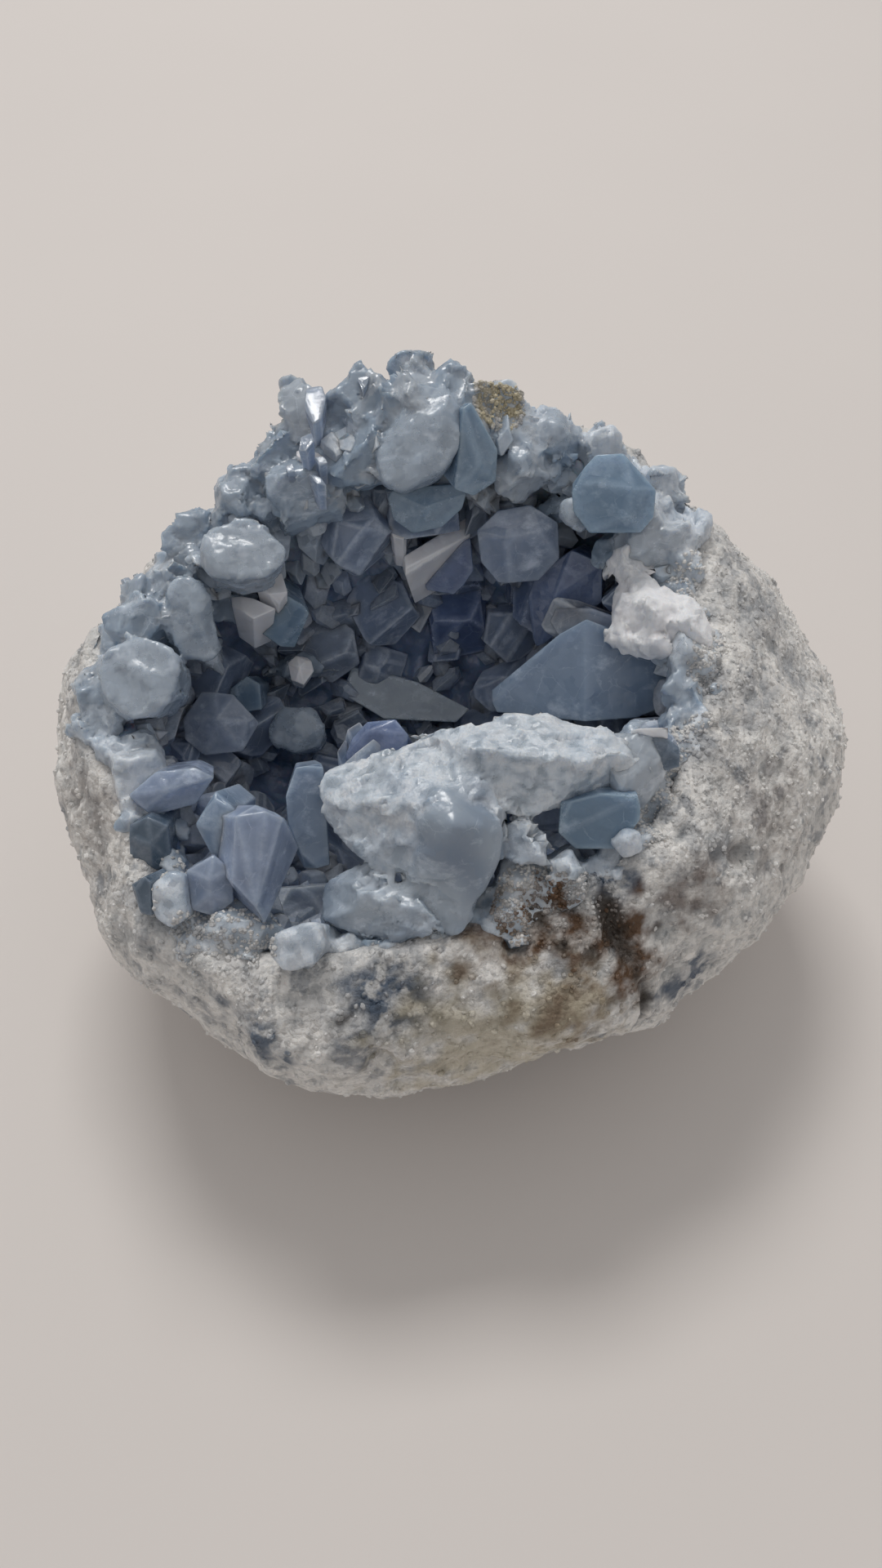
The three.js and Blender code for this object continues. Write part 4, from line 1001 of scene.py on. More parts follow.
    # Soil in the cracks, and painted shade over the rind's front, both mix in the soil's colour.
    soiled_and_shaded = add(
        tree, "ShaderNodeMix", {"data_type": "RGBA"}, {7: linear(colours.dirt_and_shade)},
        {0: (parts, "Blue"), 6: (stained, 2)})
    height = add(
        tree, "ShaderNodeMath", {"operation": "MULTIPLY_ADD"}, {1: -0.35},
        {0: (sugar, "Distance"), 2: (granules, "Fac")})
    # Each granule's own face tips its own way.
    swing = add(
        tree, "ShaderNodeVectorMath", {"operation": "MULTIPLY_ADD"},
        {1: (0.6, 0.6, 0.6), 2: (-0.3, -0.3, -0.3)}, {0: (sugar, "Color")})
    facing = add(tree, "ShaderNodeNewGeometry")
    leaning = add(
        tree, "ShaderNodeVectorMath", {"operation": "ADD"}, {}, {0: (facing, "Normal"), 1: (swing, "Vector")})
    facets = add(tree, "ShaderNodeVectorMath", {"operation": "NORMALIZE"}, {}, {0: (leaning, "Vector")})
    bump = add(
        tree, "ShaderNodeBump", {}, {"Strength": 0.8, "Distance": 0.0006},
        {"Height": (height, "Value"), "Normal": (facets, "Vector")})
    rough = add(tree, "ShaderNodeMapRange", {}, {"To Min": 0.4, "To Max": 0.8}, {"Value": (granules, "Fac")})
    shader = add(
        tree, "ShaderNodeBsdfPrincipled", {},
        {"IOR": 1.62, "Specular IOR Level": 0.4, "Subsurface Weight": 0.25, "Subsurface Scale": 0.0015,
         "Subsurface Radius": (1.0, 0.9, 0.8)},
        {"Base Color": (soiled_and_shaded, 2), "Roughness": (rough, "Result"), "Normal": (bump, "Normal")})
    add(tree, "ShaderNodeOutputMaterial", {}, {}, {"Surface": (shader, "BSDF")})
    return material


def celestite(
        name, body, root, pale, clear, rough, tint, density, milk, spread, veil=0.35, etch=0.3, tilt=0.5):
    """Celestite that is clearer at its tip than at its root and frosted along
    its worn edges. body, root and pale are its colours; clear is the
    transmission at root and tip; rough the roughness at its smoothest and
    dullest; tint and density the absorption; milk the share of light scattered
    inside it and spread how far, in mm; veil the strength of the white veils;
    etch that of the waves; tilt how far its tiny facets lean where it is frosted."""
    material, tree = blank_material(name)
    axes = add(tree, "ShaderNodeAttribute", {"attribute_name": "crystal_axes"})
    tip = add(tree, "ShaderNodeAttribute", {"attribute_name": "tip"})
    tone = add(tree, "ShaderNodeAttribute", {"attribute_name": "tone"})
    frosting = add(tree, "ShaderNodeAttribute", {"attribute_name": "frosting"})
    # Clouds of about 4 mm inside a crystal, and veils that lie across it.
    clouds = add(
        tree, "ShaderNodeTexNoise", {}, {"Scale": 0.22, "Detail": 4.0, "Roughness": 0.6},
        {"Vector": (axes, "Vector")})
    flat = add(
        tree, "ShaderNodeMapping", {}, {"Scale": (0.6, 0.8, 1.2), "Rotation": (0.5, 0.3, 0.2)},
        {"Vector": (axes, "Vector")})
    veils = add(
        tree, "ShaderNodeTexNoise", {}, {"Scale": 0.35, "Detail": 5.0, "Roughness": 0.65},
        {"Vector": (flat, "Vector")})
    raised = add(
        tree, "ShaderNodeMath", {"operation": "MULTIPLY_ADD"}, {1: 1.5, 2: -0.75}, {0: (clouds, "Fac")})
    clarity = add(
        tree, "ShaderNodeMath", {"operation": "ADD", "use_clamp": True}, {},
        {0: (raised, "Value"), 1: (tip, "Fac")})
    veiled = add(
        tree, "ShaderNodeMapRange", {}, {"From Min": 0.54, "From Max": 0.72, "To Max": veil},
        {"Value": (veils, "Fac")})
    # Frost is broken up by grains of about 0.7 mm.
    grains = add(
        tree, "ShaderNodeTexNoise", {}, {"Scale": 1.4, "Detail": 3.0, "Roughness": 0.7},
        {"Vector": (axes, "Vector")})
    broken = add(
        tree, "ShaderNodeMapRange", {}, {"From Min": 0.3, "From Max": 0.6, "To Min": 0.35, "To Max": 0.85},
        {"Value": (grains, "Fac")})
    frosted = add(
        tree, "ShaderNodeMath", {"operation": "MULTIPLY"}, {}, {0: (frosting, "Fac"), 1: (broken, "Result")})
    # Hairline cracks about 3 mm apart catch the light here and there.
    bent = add(
        tree, "ShaderNodeVectorMath", {"operation": "MULTIPLY_ADD"}, {1: (0.7, 0.7, 0.7)},
        {0: (grains, "Color"), 2: (axes, "Vector")})
    cracks = add(
        tree, "ShaderNodeTexVoronoi", {"feature": "DISTANCE_TO_EDGE"}, {"Scale": 0.3},
        {"Vector": (bent, "Vector")})
    hairs = add(
        tree, "ShaderNodeMapRange", {}, {"From Max": 0.025, "To Min": 0.18, "To Max": 0.0},
        {"Value": (cracks, "Distance")})
    here = add(
        tree, "ShaderNodeMapRange", {}, {"From Min": 0.45, "From Max": 0.6}, {"Value": (clouds, "Fac")})
    hairline = add(
        tree, "ShaderNodeMath", {"operation": "MULTIPLY"}, {}, {0: (hairs, "Result"), 1: (here, "Result")})
    paler = add(
        tree, "ShaderNodeMath", {"operation": "MAXIMUM"}, {}, {0: (veiled, "Result"), 1: (frosted, "Value")})
    white = add(
        tree, "ShaderNodeMath", {"operation": "MAXIMUM"}, {}, {0: (paler, "Value"), 1: (hairline, "Value")})
    inner = add(
        tree, "ShaderNodeMix", {"data_type": "RGBA"}, {6: linear(root), 7: linear(body)},
        {0: (clarity, "Value")})
    toned = add(
        tree, "ShaderNodeMix", {"data_type": "RGBA"}, {7: linear(pale)}, {0: (tone, "Fac"), 6: (inner, 2)})
    frosty = add(
        tree, "ShaderNodeMix", {"data_type": "RGBA"}, {7: linear("#dfe2e6")},
        {0: (white, "Value"), 6: (toned, 2)})
    # Painted shade: creases, found from the mesh's pointiness, are coloured a darker grey-blue.
    facing = add(tree, "ShaderNodeNewGeometry")
    painted_crease_shade = add(
        tree, "ShaderNodeMapRange", {}, {"From Min": 0.38, "From Max": 0.49, "To Min": 0.22, "To Max": 0.0},
        {"Value": (facing, "Pointiness")})
    coloured = add(
        tree, "ShaderNodeMix", {"data_type": "RGBA"}, {7: linear("#5d7085")},
        {0: (painted_crease_shade, "Result"), 6: (frosty, 2)})
    seen_through = add(
        tree, "ShaderNodeMapRange", {}, {"To Min": clear[0], "To Max": clear[1]},
        {"Value": (clarity, "Value")})
    through = add(
        tree, "ShaderNodeMath", {"operation": "SUBTRACT", "use_clamp": True}, {},
        {0: (seen_through, "Result"), 1: (white, "Value")})
    dull = add(
        tree, "ShaderNodeMapRange", {}, {"To Min": rough[0], "To Max": rough[1]}, {"Value": (veils, "Fac")})
    duller = add(
        tree, "ShaderNodeMath", {"operation": "MULTIPLY_ADD", "use_clamp": True}, {1: 0.3},
        {0: (frosted, "Value"), 2: (dull, "Result")})
    # Faces are etched in soft waves of about 2 mm, frost in streaks along the crystal.
    etched = add(
        tree, "ShaderNodeTexNoise", {}, {"Scale": 0.5, "Detail": 2.0, "Roughness": 0.4},
        {"Vector": (axes, "Vector")})
    waves = add(tree, "ShaderNodeMath", {"operation": "MULTIPLY"}, {1: etch}, {0: (etched, "Fac")})
    drawn = add(
        tree, "ShaderNodeMapping", {}, {"Scale": (1.0, 1.0, 0.25), "Rotation": (0.15, 0.1, 0.0)},
        {"Vector": (axes, "Vector")})
    streaks = add(
        tree, "ShaderNodeTexNoise", {}, {"Scale": 1.5, "Detail": 4.0, "Roughness": 0.65},
        {"Vector": (drawn, "Vector")})
    streaked = add(
        tree, "ShaderNodeMath", {"operation": "MULTIPLY"}, {}, {0: (streaks, "Fac"), 1: (frosting, "Fac")})
    relief = add(
        tree, "ShaderNodeMath", {"operation": "ADD"}, {}, {0: (waves, "Value"), 1: (streaked, "Value")})
    # Frosted skin is made of flat facets of about 1.2 mm that glint one by one.
    cells = add(tree, "ShaderNodeTexVoronoi", {}, {"Scale": 0.8}, {"Vector": (bent, "Vector")})
    swing = add(
        tree, "ShaderNodeVectorMath", {"operation": "SUBTRACT"}, {1: (0.5, 0.5, 0.5)}, {0: (cells, "Color")})
    much = add(
        tree, "ShaderNodeMath", {"operation": "MULTIPLY_ADD"}, {1: tilt, 2: 0.3 * tilt},
        {0: (frosting, "Fac")})
    swung = add(
        tree, "ShaderNodeVectorMath", {"operation": "SCALE"}, {},
        {0: (swing, "Vector"), "Scale": (much, "Value")})
    leaning = add(
        tree, "ShaderNodeVectorMath", {"operation": "ADD"}, {}, {0: (facing, "Normal"), 1: (swung, "Vector")})
    facets = add(tree, "ShaderNodeVectorMath", {"operation": "NORMALIZE"}, {}, {0: (leaning, "Vector")})
    bump = add(
        tree, "ShaderNodeBump", {}, {"Strength": 0.6, "Distance": 0.0006},
        {"Height": (relief, "Value"), "Normal": (facets, "Vector")})
    shader = add(
        tree, "ShaderNodeBsdfPrincipled", {},
        {
            "IOR": 1.62, "Subsurface Weight": milk, "Subsurface Scale": spread / 1000,
            "Subsurface Radius": (0.8, 0.9, 1.0)},
        {
            "Base Color": (coloured, 2), "Roughness": (duller, "Value"),
            "Transmission Weight": (through, "Value"), "Normal": (bump, "Normal")})
    inside = add(tree, "ShaderNodeVolumeAbsorption", {}, {"Color": linear(tint), "Density": density})
    add(tree, "ShaderNodeOutputMaterial", {}, {}, {"Surface": (shader, "BSDF"), "Volume": (inside, "Volume")})
    return material


FINISHES = {}
ORDER = ("pale", "clear", "blue", "deep", "blade", "ice", "frost", "slate")


def finishes():
    """The celestite finishes, made once."""
    if not FINISHES:
        # Cloudy crystals of the rim: a soft grey-blue glow and few reflections.
        FINISHES["pale"] = celestite(
            "Celestite, cloudy", body="#adbdce", root="#8a9fb5", pale="#c6cfd9",
            clear=(0.05, 0.35), rough=(0.14, 0.36), tint="#8fb0cf", density=50.0, milk=0.75,
            spread=1.2, tilt=0.75)
        # Clear crystals of the hollow: glassy, with the dark behind them.
        FINISHES["clear"] = celestite(
            "Celestite, clear", body="#a6b9d8", root="#97a9cb", pale="#bfcbdc",
            clear=(0.1, 0.55), rough=(0.05, 0.2), tint="#86a2c8", density=40.0, milk=0.7,
            spread=3.0, veil=0.45, etch=0.12)
        # Strongly coloured crystals: steel blue through and through.
        FINISHES["blue"] = celestite(
            "Celestite, steel blue", body="#83a3c0", root="#90a7be", pale="#a2b8cc",
            clear=(0.1, 0.45), rough=(0.12, 0.32), tint="#5f90b8", density=60.0, milk=0.7,
            spread=3.0)
        # Thick crystals at the back of the hollow: navy, partly since light runs far in them and partly as
        # painted shade of the deep hollow.
        FINISHES["deep"] = celestite(
            "Celestite, navy", body="#7b92c4", root="#7388b2", pale="#8fa4c8",
            clear=(0.15, 0.6), rough=(0.08, 0.3), tint="#5876a8", density=60.0, milk=0.6,
            spread=3.0)
        FINISHES["blade"] = celestite(
            "Celestite, smoky blue", body="#8ba4c2", root="#8f9fb6", pale="#a2b4ca",
            clear=(0.1, 0.4), rough=(0.1, 0.3), tint="#688cb0", density=60.0, milk=0.6,
            spread=3.0)
        # Thin-walled crystals with a dark hollow behind them: their dark slate blue is partly painted shade
        # of that hollow.
        FINISHES["slate"] = celestite(
            "Celestite, slate blue", body="#62788e", root="#586c82", pale="#72869a",
            clear=(0.15, 0.5), rough=(0.08, 0.3), tint="#4f6d88", density=60.0, milk=0.5,
            spread=1.5)
        # Freshly broken crystal: milky and smooth, or frosted and icy.
        FINISHES["ice"] = celestite(
            "Celestite, broken", body="#b9c8d7", root="#526a88", pale="#c4cfd9",
            clear=(0.15, 0.35), rough=(0.15, 0.34), tint="#8db0d2", density=50.0, milk=0.7,
            spread=1.0, veil=0.3, tilt=0.7)
        # Frosted crystal: etched white all over, hardly see-through. On the glint faces its white is a
        # painted highlight.
        FINISHES["frost"] = celestite(
            "Celestite, frosted", body="#ededf1", root="#dadde4", pale="#f2f2f4",
            clear=(0.0, 0.12), rough=(0.25, 0.5), tint="#b7c4d6", density=40.0, milk=0.6,
            spread=0.8, veil=0.5)
    return [FINISHES[name] for name in ORDER]


def bed_celestite():
    """Massive celestite under the crystals: cloudy slate blue, matt between the
    crystals' feet. Low in the hollow, where it is thick, it is coloured darker, partly
    for that thickness and partly as painted shade of the deep hollow."""
    material, tree = blank_material("Celestite, massive")
    place = add(tree, "ShaderNodeTexCoord")
    clouds = add(
        tree, "ShaderNodeTexNoise", {}, {"Scale": 180.0, "Detail": 4.0}, {"Vector": (place, "Object")})
    split = add(tree, "ShaderNodeSeparateXYZ", {}, {}, {"Vector": (place, "Object")})
    # Painted shade: the bed turns from the rim's colours to darker floor colours between 40 and 62 mm up.
    low = add(
        tree, "ShaderNodeMapRange", {"interpolation_type": "SMOOTHSTEP"},
        {"From Min": 0.040, "From Max": 0.062}, {"Value": (split, "Z")})
    rim = add(
        tree, "ShaderNodeMix", {"data_type": "RGBA"}, {6: linear("#aeb6be"), 7: linear("#8797a9")},
        {0: (clouds, "Fac")})
    floor = add(
        tree, "ShaderNodeMix", {"data_type": "RGBA"}, {6: linear("#8292b2"), 7: linear("#61738f")},
        {0: (clouds, "Fac")})
    colour = add(
        tree, "ShaderNodeMix", {"data_type": "RGBA"}, {}, {0: (low, "Result"), 6: (floor, 2), 7: (rim, 2)})
    fine = add(tree, "ShaderNodeTexNoise", {}, {"Scale": 900.0, "Detail": 3.0}, {"Vector": (place, "Object")})
    bump = add(tree, "ShaderNodeBump", {}, {"Strength": 0.6, "Distance": 0.0005}, {"Height": (fine, "Fac")})
    shader = add(
        tree, "ShaderNodeBsdfPrincipled", {},
        {"IOR": 1.62, "Roughness": 0.35, "Subsurface Weight": 0.5, "Subsurface Scale": 0.003},
        {"Base Color": (colour, 2), "Normal": (bump, "Normal")})
    add(tree, "ShaderNodeOutputMaterial", {}, {}, {"Surface": (shader, "BSDF")})
    return material


def matt_board():
    """Painted board under soft light: pale, warm and matt."""
    material, tree = blank_material("Painted board, matt")
    place = add(tree, "ShaderNodeTexCoord")
    mottle = add(tree, "ShaderNodeTexNoise", {}, {"Scale": 9.0, "Detail": 4.0}, {"Vector": (place, "Object")})
    tone = linear(bpy.context.scene.geode_stage.floor_colour)
    shade = add(
        tree, "ShaderNodeMix", {"data_type": "RGBA"}, {6: tone, 7: [c * 0.95 for c in tone[:3]] + [1.0]},
        {0: (mottle, "Fac")})
    shader = add(tree, "ShaderNodeBsdfPrincipled", {}, {"Roughness": 0.6}, {"Base Color": (shade, 2)})
    add(tree, "ShaderNodeOutputMaterial", {}, {}, {"Surface": (shader, "BSDF")})
    return material


# ------------------------------------------------------------------ the rind


def rind_relief(point, sizes):
    """Rise of the rind's surface at a point, in millimetres."""
    lump = noise.noise(point / 5.0 + Vector((3, 1, 7)))
    knob = noise.noise(point / 2.6)
    granule = noise.noise(point / 1.3 + Vector((9, 0, 2)))
    pits = noise.voronoi(point / 4.2 + Vector((0, 5, 0)))[0][0]
    rise = 1000 * sizes.lump_rise * lump + 700 * sizes.lump_rise * knob + 1000 * sizes.grain_rise * granule
    return rise - 0.45 * (1 - smooth(pits, 0.08, 0.36))


def weathering_and_shade_of(point):
    """Iron, window, soil with painted shade, and ochre at a point of the rind."""
    ragged = 0.9 * noise.noise(point / 2.2) + 0.4 * noise.noise(point / 0.9)
    crack = 1 - smooth(from_crack(point) + 0.6 * ragged, 0.6, 2.2)
    azimuth = math.atan2(point.y - AXIS.y, point.x - AXIS.x)
    below = around(RIM_HEIGHT, azimuth) - point.z
    blotch = smooth(noise.noise(point / 4.0), -0.4, 0.4)
    near_rim = 0.45 * (1 - smooth(below + 3 * ragged, 2.0, 12.0)) * blotch
    return (
        patch(IRON, point, ragged),
        max(patch(WINDOWS, point, ragged), near_rim),
        max(patch(DIRT_AND_SHADE, point, ragged), crack),
        patch(OCHRE, point, ragged),
    )


class GEODE_OT_rind(bpy.types.Operator):
    """Makes the granular rind from its solid"""

    bl_idname = "geode.rind"
    bl_label = "Rind"

    def execute(self, context):
        sizes = context.scene.geode_sizes
        rough = bmesh.new()
        rough.from_mesh(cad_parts["rind"].data)
        bmesh.ops.remove_doubles(rough, verts=rough.verts, dist=1e-6)
        bm = remeshed(rough, sizes.voxel)
        bmesh.ops.transform(bm, matrix=Matrix.Translation(MIDDLE) @ Matrix.Scale(1000, 4), verts=bm.verts)
        soften(bm, 2)
        bm.normal_update()
        weather_and_shade = bm.verts.layers.float_color.new("weathering_and_shade")
        hollow = bm.verts.layers.float.new("hollow")
        for vert in bm.verts:
            point = vert.co.copy()
            inside = point - AXIS
            lining = vert.normal.x * inside.x + vert.normal.y * inside.y < 0 and point.z > FOOT_HEIGHT
            rise = 0.0 if lining else rind_relief(point, sizes) - 0.25
            rise -= 1.6 * (1 - smooth(from_crack(point), 0.4, 2.0))
            rise *= smooth(point.z, 0.2, 2.5)
            vert[hollow] = smooth(-rise, 0.2, 1.5)
            vert[weather_and_shade] = weathering_and_shade_of(point)
            vert.co = point + vert.normal * rise
            vert.co.z = max(vert.co.z, 0.0)
        finish_piece("rind_matrix", bm, [granular_rind()], "rind", True)
        return {"FINISHED"}


class GEODE_OT_grains(bpy.types.Operator):
    """Scatters sugary grains over the rind and the crystals' feet"""

    bl_idname = "geode.grains"
    bl_label = "Grains"

    def execute(self, context):
        sizes = context.scene.geode_sizes
        rng = random.Random(sizes.seed + 1)
        base = bpy.data.objects["rind_matrix"].data
        places = []
        for vert in base.vertices:
            point = vert.co * 1000 + MIDDLE
            away = vert.normal.x * (point.x - AXIS.x) + vert.normal.y * (point.y - AXIS.y)
            if point.z > 1.5 and (away > 0 or vert.normal.z > 0.6):
                places.append((point, vert.normal.copy()))
        rng.shuffle(places)
        wanted = [(point, normal, 1.0) for point, normal in places[:sizes.grain_count]]
        crystals = [
            (vert.co * 1000 + MIDDLE, vert.normal.copy())
            for name in ("rim_crystals", "broken_mass", "crystal_bed", "rind_matrix")
            for vert in bpy.data.objects[name].data.vertices
            if vert.normal.z > 0.1
        ]
        for middle, radius, count in CRUSTS:
            near = [place for place in crystals if (place[0] - Vector(middle)).length < radius]
            wanted += [(point, normal, 0.75) for point, normal in rng.sample(near, min(count, len(near)))]
        whole = bmesh.new()
        whole.verts.layers.float_color.new("weathering_and_shade")
        whole.verts.layers.float.new("hollow")
        for first in range(0, len(wanted), 130):
            batch = bmesh.new()
            weather_and_shade = batch.verts.layers.float_color.new("weathering_and_shade")
            batch.verts.layers.float.new("hollow")
            for point, normal, share in wanted[first:first + 130]:
                width = 1000 * sizes.grain_size * share * rng.uniform(0.55, 1.3)
                turn = Matrix.Rotation(rng.uniform(0, math.pi), 4, jitter(rng, 1).normalized())
                stretch = Matrix.Diagonal((1, rng.uniform(0.6, 1), rng.uniform(0.5, 0.9), 1))
                matrix = Matrix.Translation(point - normal * 0.1 * width) @ turn @ stretch
                made = bmesh.ops.create_icosphere(batch, subdivisions=1, radius=width / 2, matrix=matrix)
                marks = weathering_and_shade_of(point)
                for vert in made["verts"]:
                    vert[weather_and_shade] = marks
            add_to(whole, batch, Matrix.Identity(4))
        stone = bpy.data.materials["Granular celestite, weathered"]
        finish_piece("rind_grains", whole, [stone], "rind")
        return {"FINISHED"}


# --------------------------------------------------------------- the crystals


class GEODE_OT_bed(bpy.types.Operator):
    """Makes the massive bed that the crystals stand on"""

    bl_idname = "geode.bed"
    bl_label = "Crystal bed"

    def execute(self, context):
        inner, outer, turns = 84, 12, 300
        rings = inner + outer
        bm = bmesh.new()
        line = [bm.verts.new((0 if ring in (0, rings - 1) else 1, 0, ring)) for ring in range(rings)]
        edges = [bm.edges.new(pair) for pair in zip(line, line[1:])]
        bmesh.ops.spin(
            bm, geom=line + edges, cent=(0, 0, 0), axis=(0, 0, 1), dvec=(0, 0, 0),
            angle=2 * math.pi, steps=turns, use_merge=True, use_duplicate=False)
        for vert in bm.verts:
            ring = round(vert.co.z)
            azimuth = math.atan2(vert.co.y, vert.co.x)
            top = around(RIM_HEIGHT, azimuth) - RIM_DROP
            if ring < inner:
                climb = (ring / (inner - 1)) ** 1.3
                height = FLOOR_HEIGHT + BED + (top - FLOOR_HEIGHT - BED) * climb
                reach = 0.0 if ring == 0 else lining_radius(azimuth, height)
            else:
                climb = ((rings - 1 - ring) / (outer - 1)) ** 1.3
                height = FLOOR_HEIGHT + 0.4 + (top - FLOOR_HEIGHT - 1.4) * climb
                reach = 0.0 if ring == rings - 1 else max(inner_radius(azimuth, height, top) - 0.4, 0.5)
            vert.co = at(azimuth, reach, height)
        bmesh.ops.remove_doubles(bm, verts=bm.verts, dist=0.01)
        bmesh.ops.recalc_face_normals(bm, faces=bm.faces)
        in_order(bm)
        bm.normal_update()
        turned = Matrix.Rotation(0.6, 3, (0.5, 0.8, 0.3))
        for vert in bm.verts:
            inward = (vert.co - AXIS).xy.dot(vert.normal.xy) < 0 or vert.normal.z > 0.3
            if inward:
                wide = noise.voronoi(turned @ vert.co / 5.0, distance_metric="CHEBYCHEV")[0][0]
                fine = noise.voronoi(turned @ vert.co / 2.4, distance_metric="MANHATTAN")[0][0]
                vert.co += vert.normal * (3.6 * (0.35 - wide) + 1.2 * (0.4 - fine))
        finish_piece("crystal_bed", bm, [bed_celestite()], "crystal_crust", True)
        return {"FINISHED"}


def offshoots(crystal, rng):
    """Smaller crystals that grow out of the foot of a large one, nearly
    parallel to it."""
    spot, aim, size, turn, habit, finish, root = crystal
    if finish is None and spot[1] < 0:
        return []
    if finish is None:
        finish = "pale" if spot[2] > OFFSHOOTS_CLOUDY else "clear"
    parent = standing(spot, aim, turn)
    found = []
    for _ in range(rng.choice((2, 3, 4))):
        bearing = rng.uniform(0, 2 * math.pi)
        side = outward(bearing)
        foot = parent @ Vector((side.x * size[0] * 0.46, side.y * size[1] * 0.46, 0))
        lean = parent.to_3x3() @ (side * rng.uniform(0.1, 0.5) + Vector((0, 0, 1)))
        wide = min(size[0], size[1]) * rng.uniform(0.35, 0.6)
        found.append((
            tuple(foot), tuple(lean), (wide, wide * rng.uniform(0.6, 1.2), size[2] * rng.uniform(0.4, 0.85)),
            turn + rng.uniform(-20, 20), rng.choice((habit, "chisel", "wedge")), finish, root))
    return found


def covered(point):
    """How thickly crystals cover the rim beside a point, from 0.2 to 1."""
    cover = around(CRYSTAL_COVER, math.atan2(point.y - AXIS.y, point.x - AXIS.x))
    return mixed(0.2, 1.0, smooth(cover, 1.5, 4.0))


def fused(name, sources, finish, rng, plain):
    """One skin around many crystals that have grown together, which keeps each
    crystal's tone and its place from root to tip. The crystals made of the
    first plain faces keep theirs flatter."""
    tree = BVHTree.FromBMesh(sources)
    sources.faces.ensure_lookup_table()
    names = ("tip", "tone", "frosting")
    kept = [
        [sum(vert[sources.verts.layers.float[key]] for vert in face.verts) / len(face.verts) for key in names]
        for face in sources.faces
    ]
    bm = one_skin(sources, RIM_MESH)
    soften(bm, 1, 0.4)
    found = [kept[tree.find_nearest(vert.co)[2]] for vert in bm.verts]

    def broken(point):
        return 0.5 if tree.find_nearest(point)[2] < plain else 1.0

    facet(bm, 2.4, 0.5, lambda point: 0.85 * covered(point) * broken(point), rng, 0.35)
    facet(bm, 1.1, 0.14, broken, rng, 0.35)
    for vert in bm.verts:
        # A root that comes through the rind is drawn back into it.
        inside = vert.co - AXIS
        azimuth = math.atan2(inside.y, inside.x)
        top = around(RIM_HEIGHT, azimuth)
        free = top - FREE_RIM
        room = mixed(-1.5, 6.0, smooth(vert.co.z, free - 1, free))
        edge = outer_radius(azimuth, min(vert.co.z, top)) + room
        over = inside.xy.length - edge
        if over > 0 and vert.co.z < free:
            vert.co -= outward(azimuth) * over
    axes = bm.verts.layers.float_vector.new("crystal_axes")
    layers = [bm.verts.layers.float.new(key) for key in names]
    for vert, values in zip(bm.verts, found):
        vert[axes] = vert.co
        for layer, value in zip(layers, values):
            vert[layer] = value
        inside = vert.co - AXIS
        azimuth = math.atan2(inside.y, inside.x)
        rim = bed_radius(azimuth, around(RIM_HEIGHT, azimuth) - RIM_DROP)
        bare = 1 - smooth(around(CRYSTAL_COVER, azimuth), 2.0, 5.0)
        outer = smooth(inside.xy.length - rim, -0.5, 3.5) * bare
        sugar = outer * smooth(noise.noise(vert.co / 2.0), -0.5, 0.3)
        pale = (1 - smooth(abs(azimuth - 0.8), 0.3, 0.8)) * smooth(inside.xy.length - rim, -1.0, 2.0)
        vert[layers[2]] = max(
            vert[layers[2]], 0.8 * sugar, 0.45 * pale * smooth(noise.noise(vert.co / 3.0), -0.5, 0.3))
    return finish_piece(
        name, bm, [finishes()[ORDER.index(finish)]], "crystal_crust", True)


def stand_all(name, crystals, sizes, rng, rim):
    """Stands crystals in a piece of their own, and the cloudy ones in the rim."""
    bm = start_crystals()
    extra = [one for crystal in crystals for one in offshoots(crystal, rng)]
    for spot, aim, size, turn, habit, finish, root in list(crystals) + extra:
        if finish == "pale":
            add_to(rim, grow(habit, size, root, rng, CHIPS, 0.0), standing(spot, aim, turn))
            continue
        wear = 1000 * sizes.edge_wear * rng.uniform(0.6, 1.5)
        if finish is not None:
            one = grow(habit, size, root, rng, CHIPS, wear, 2)
            add_to(bm, one, standing(spot, aim, turn), ORDER.index(finish))
    return finish_piece(name, bm, finishes(), "crystal_crust", crisp=True)


def beside_shaped(point, reach):
    """Whether a point of the front half lies beside a shaped crystal."""
    return point.y < -5 and any((point - middle_of(corners)).length < reach for _, _, corners in FEATURES)


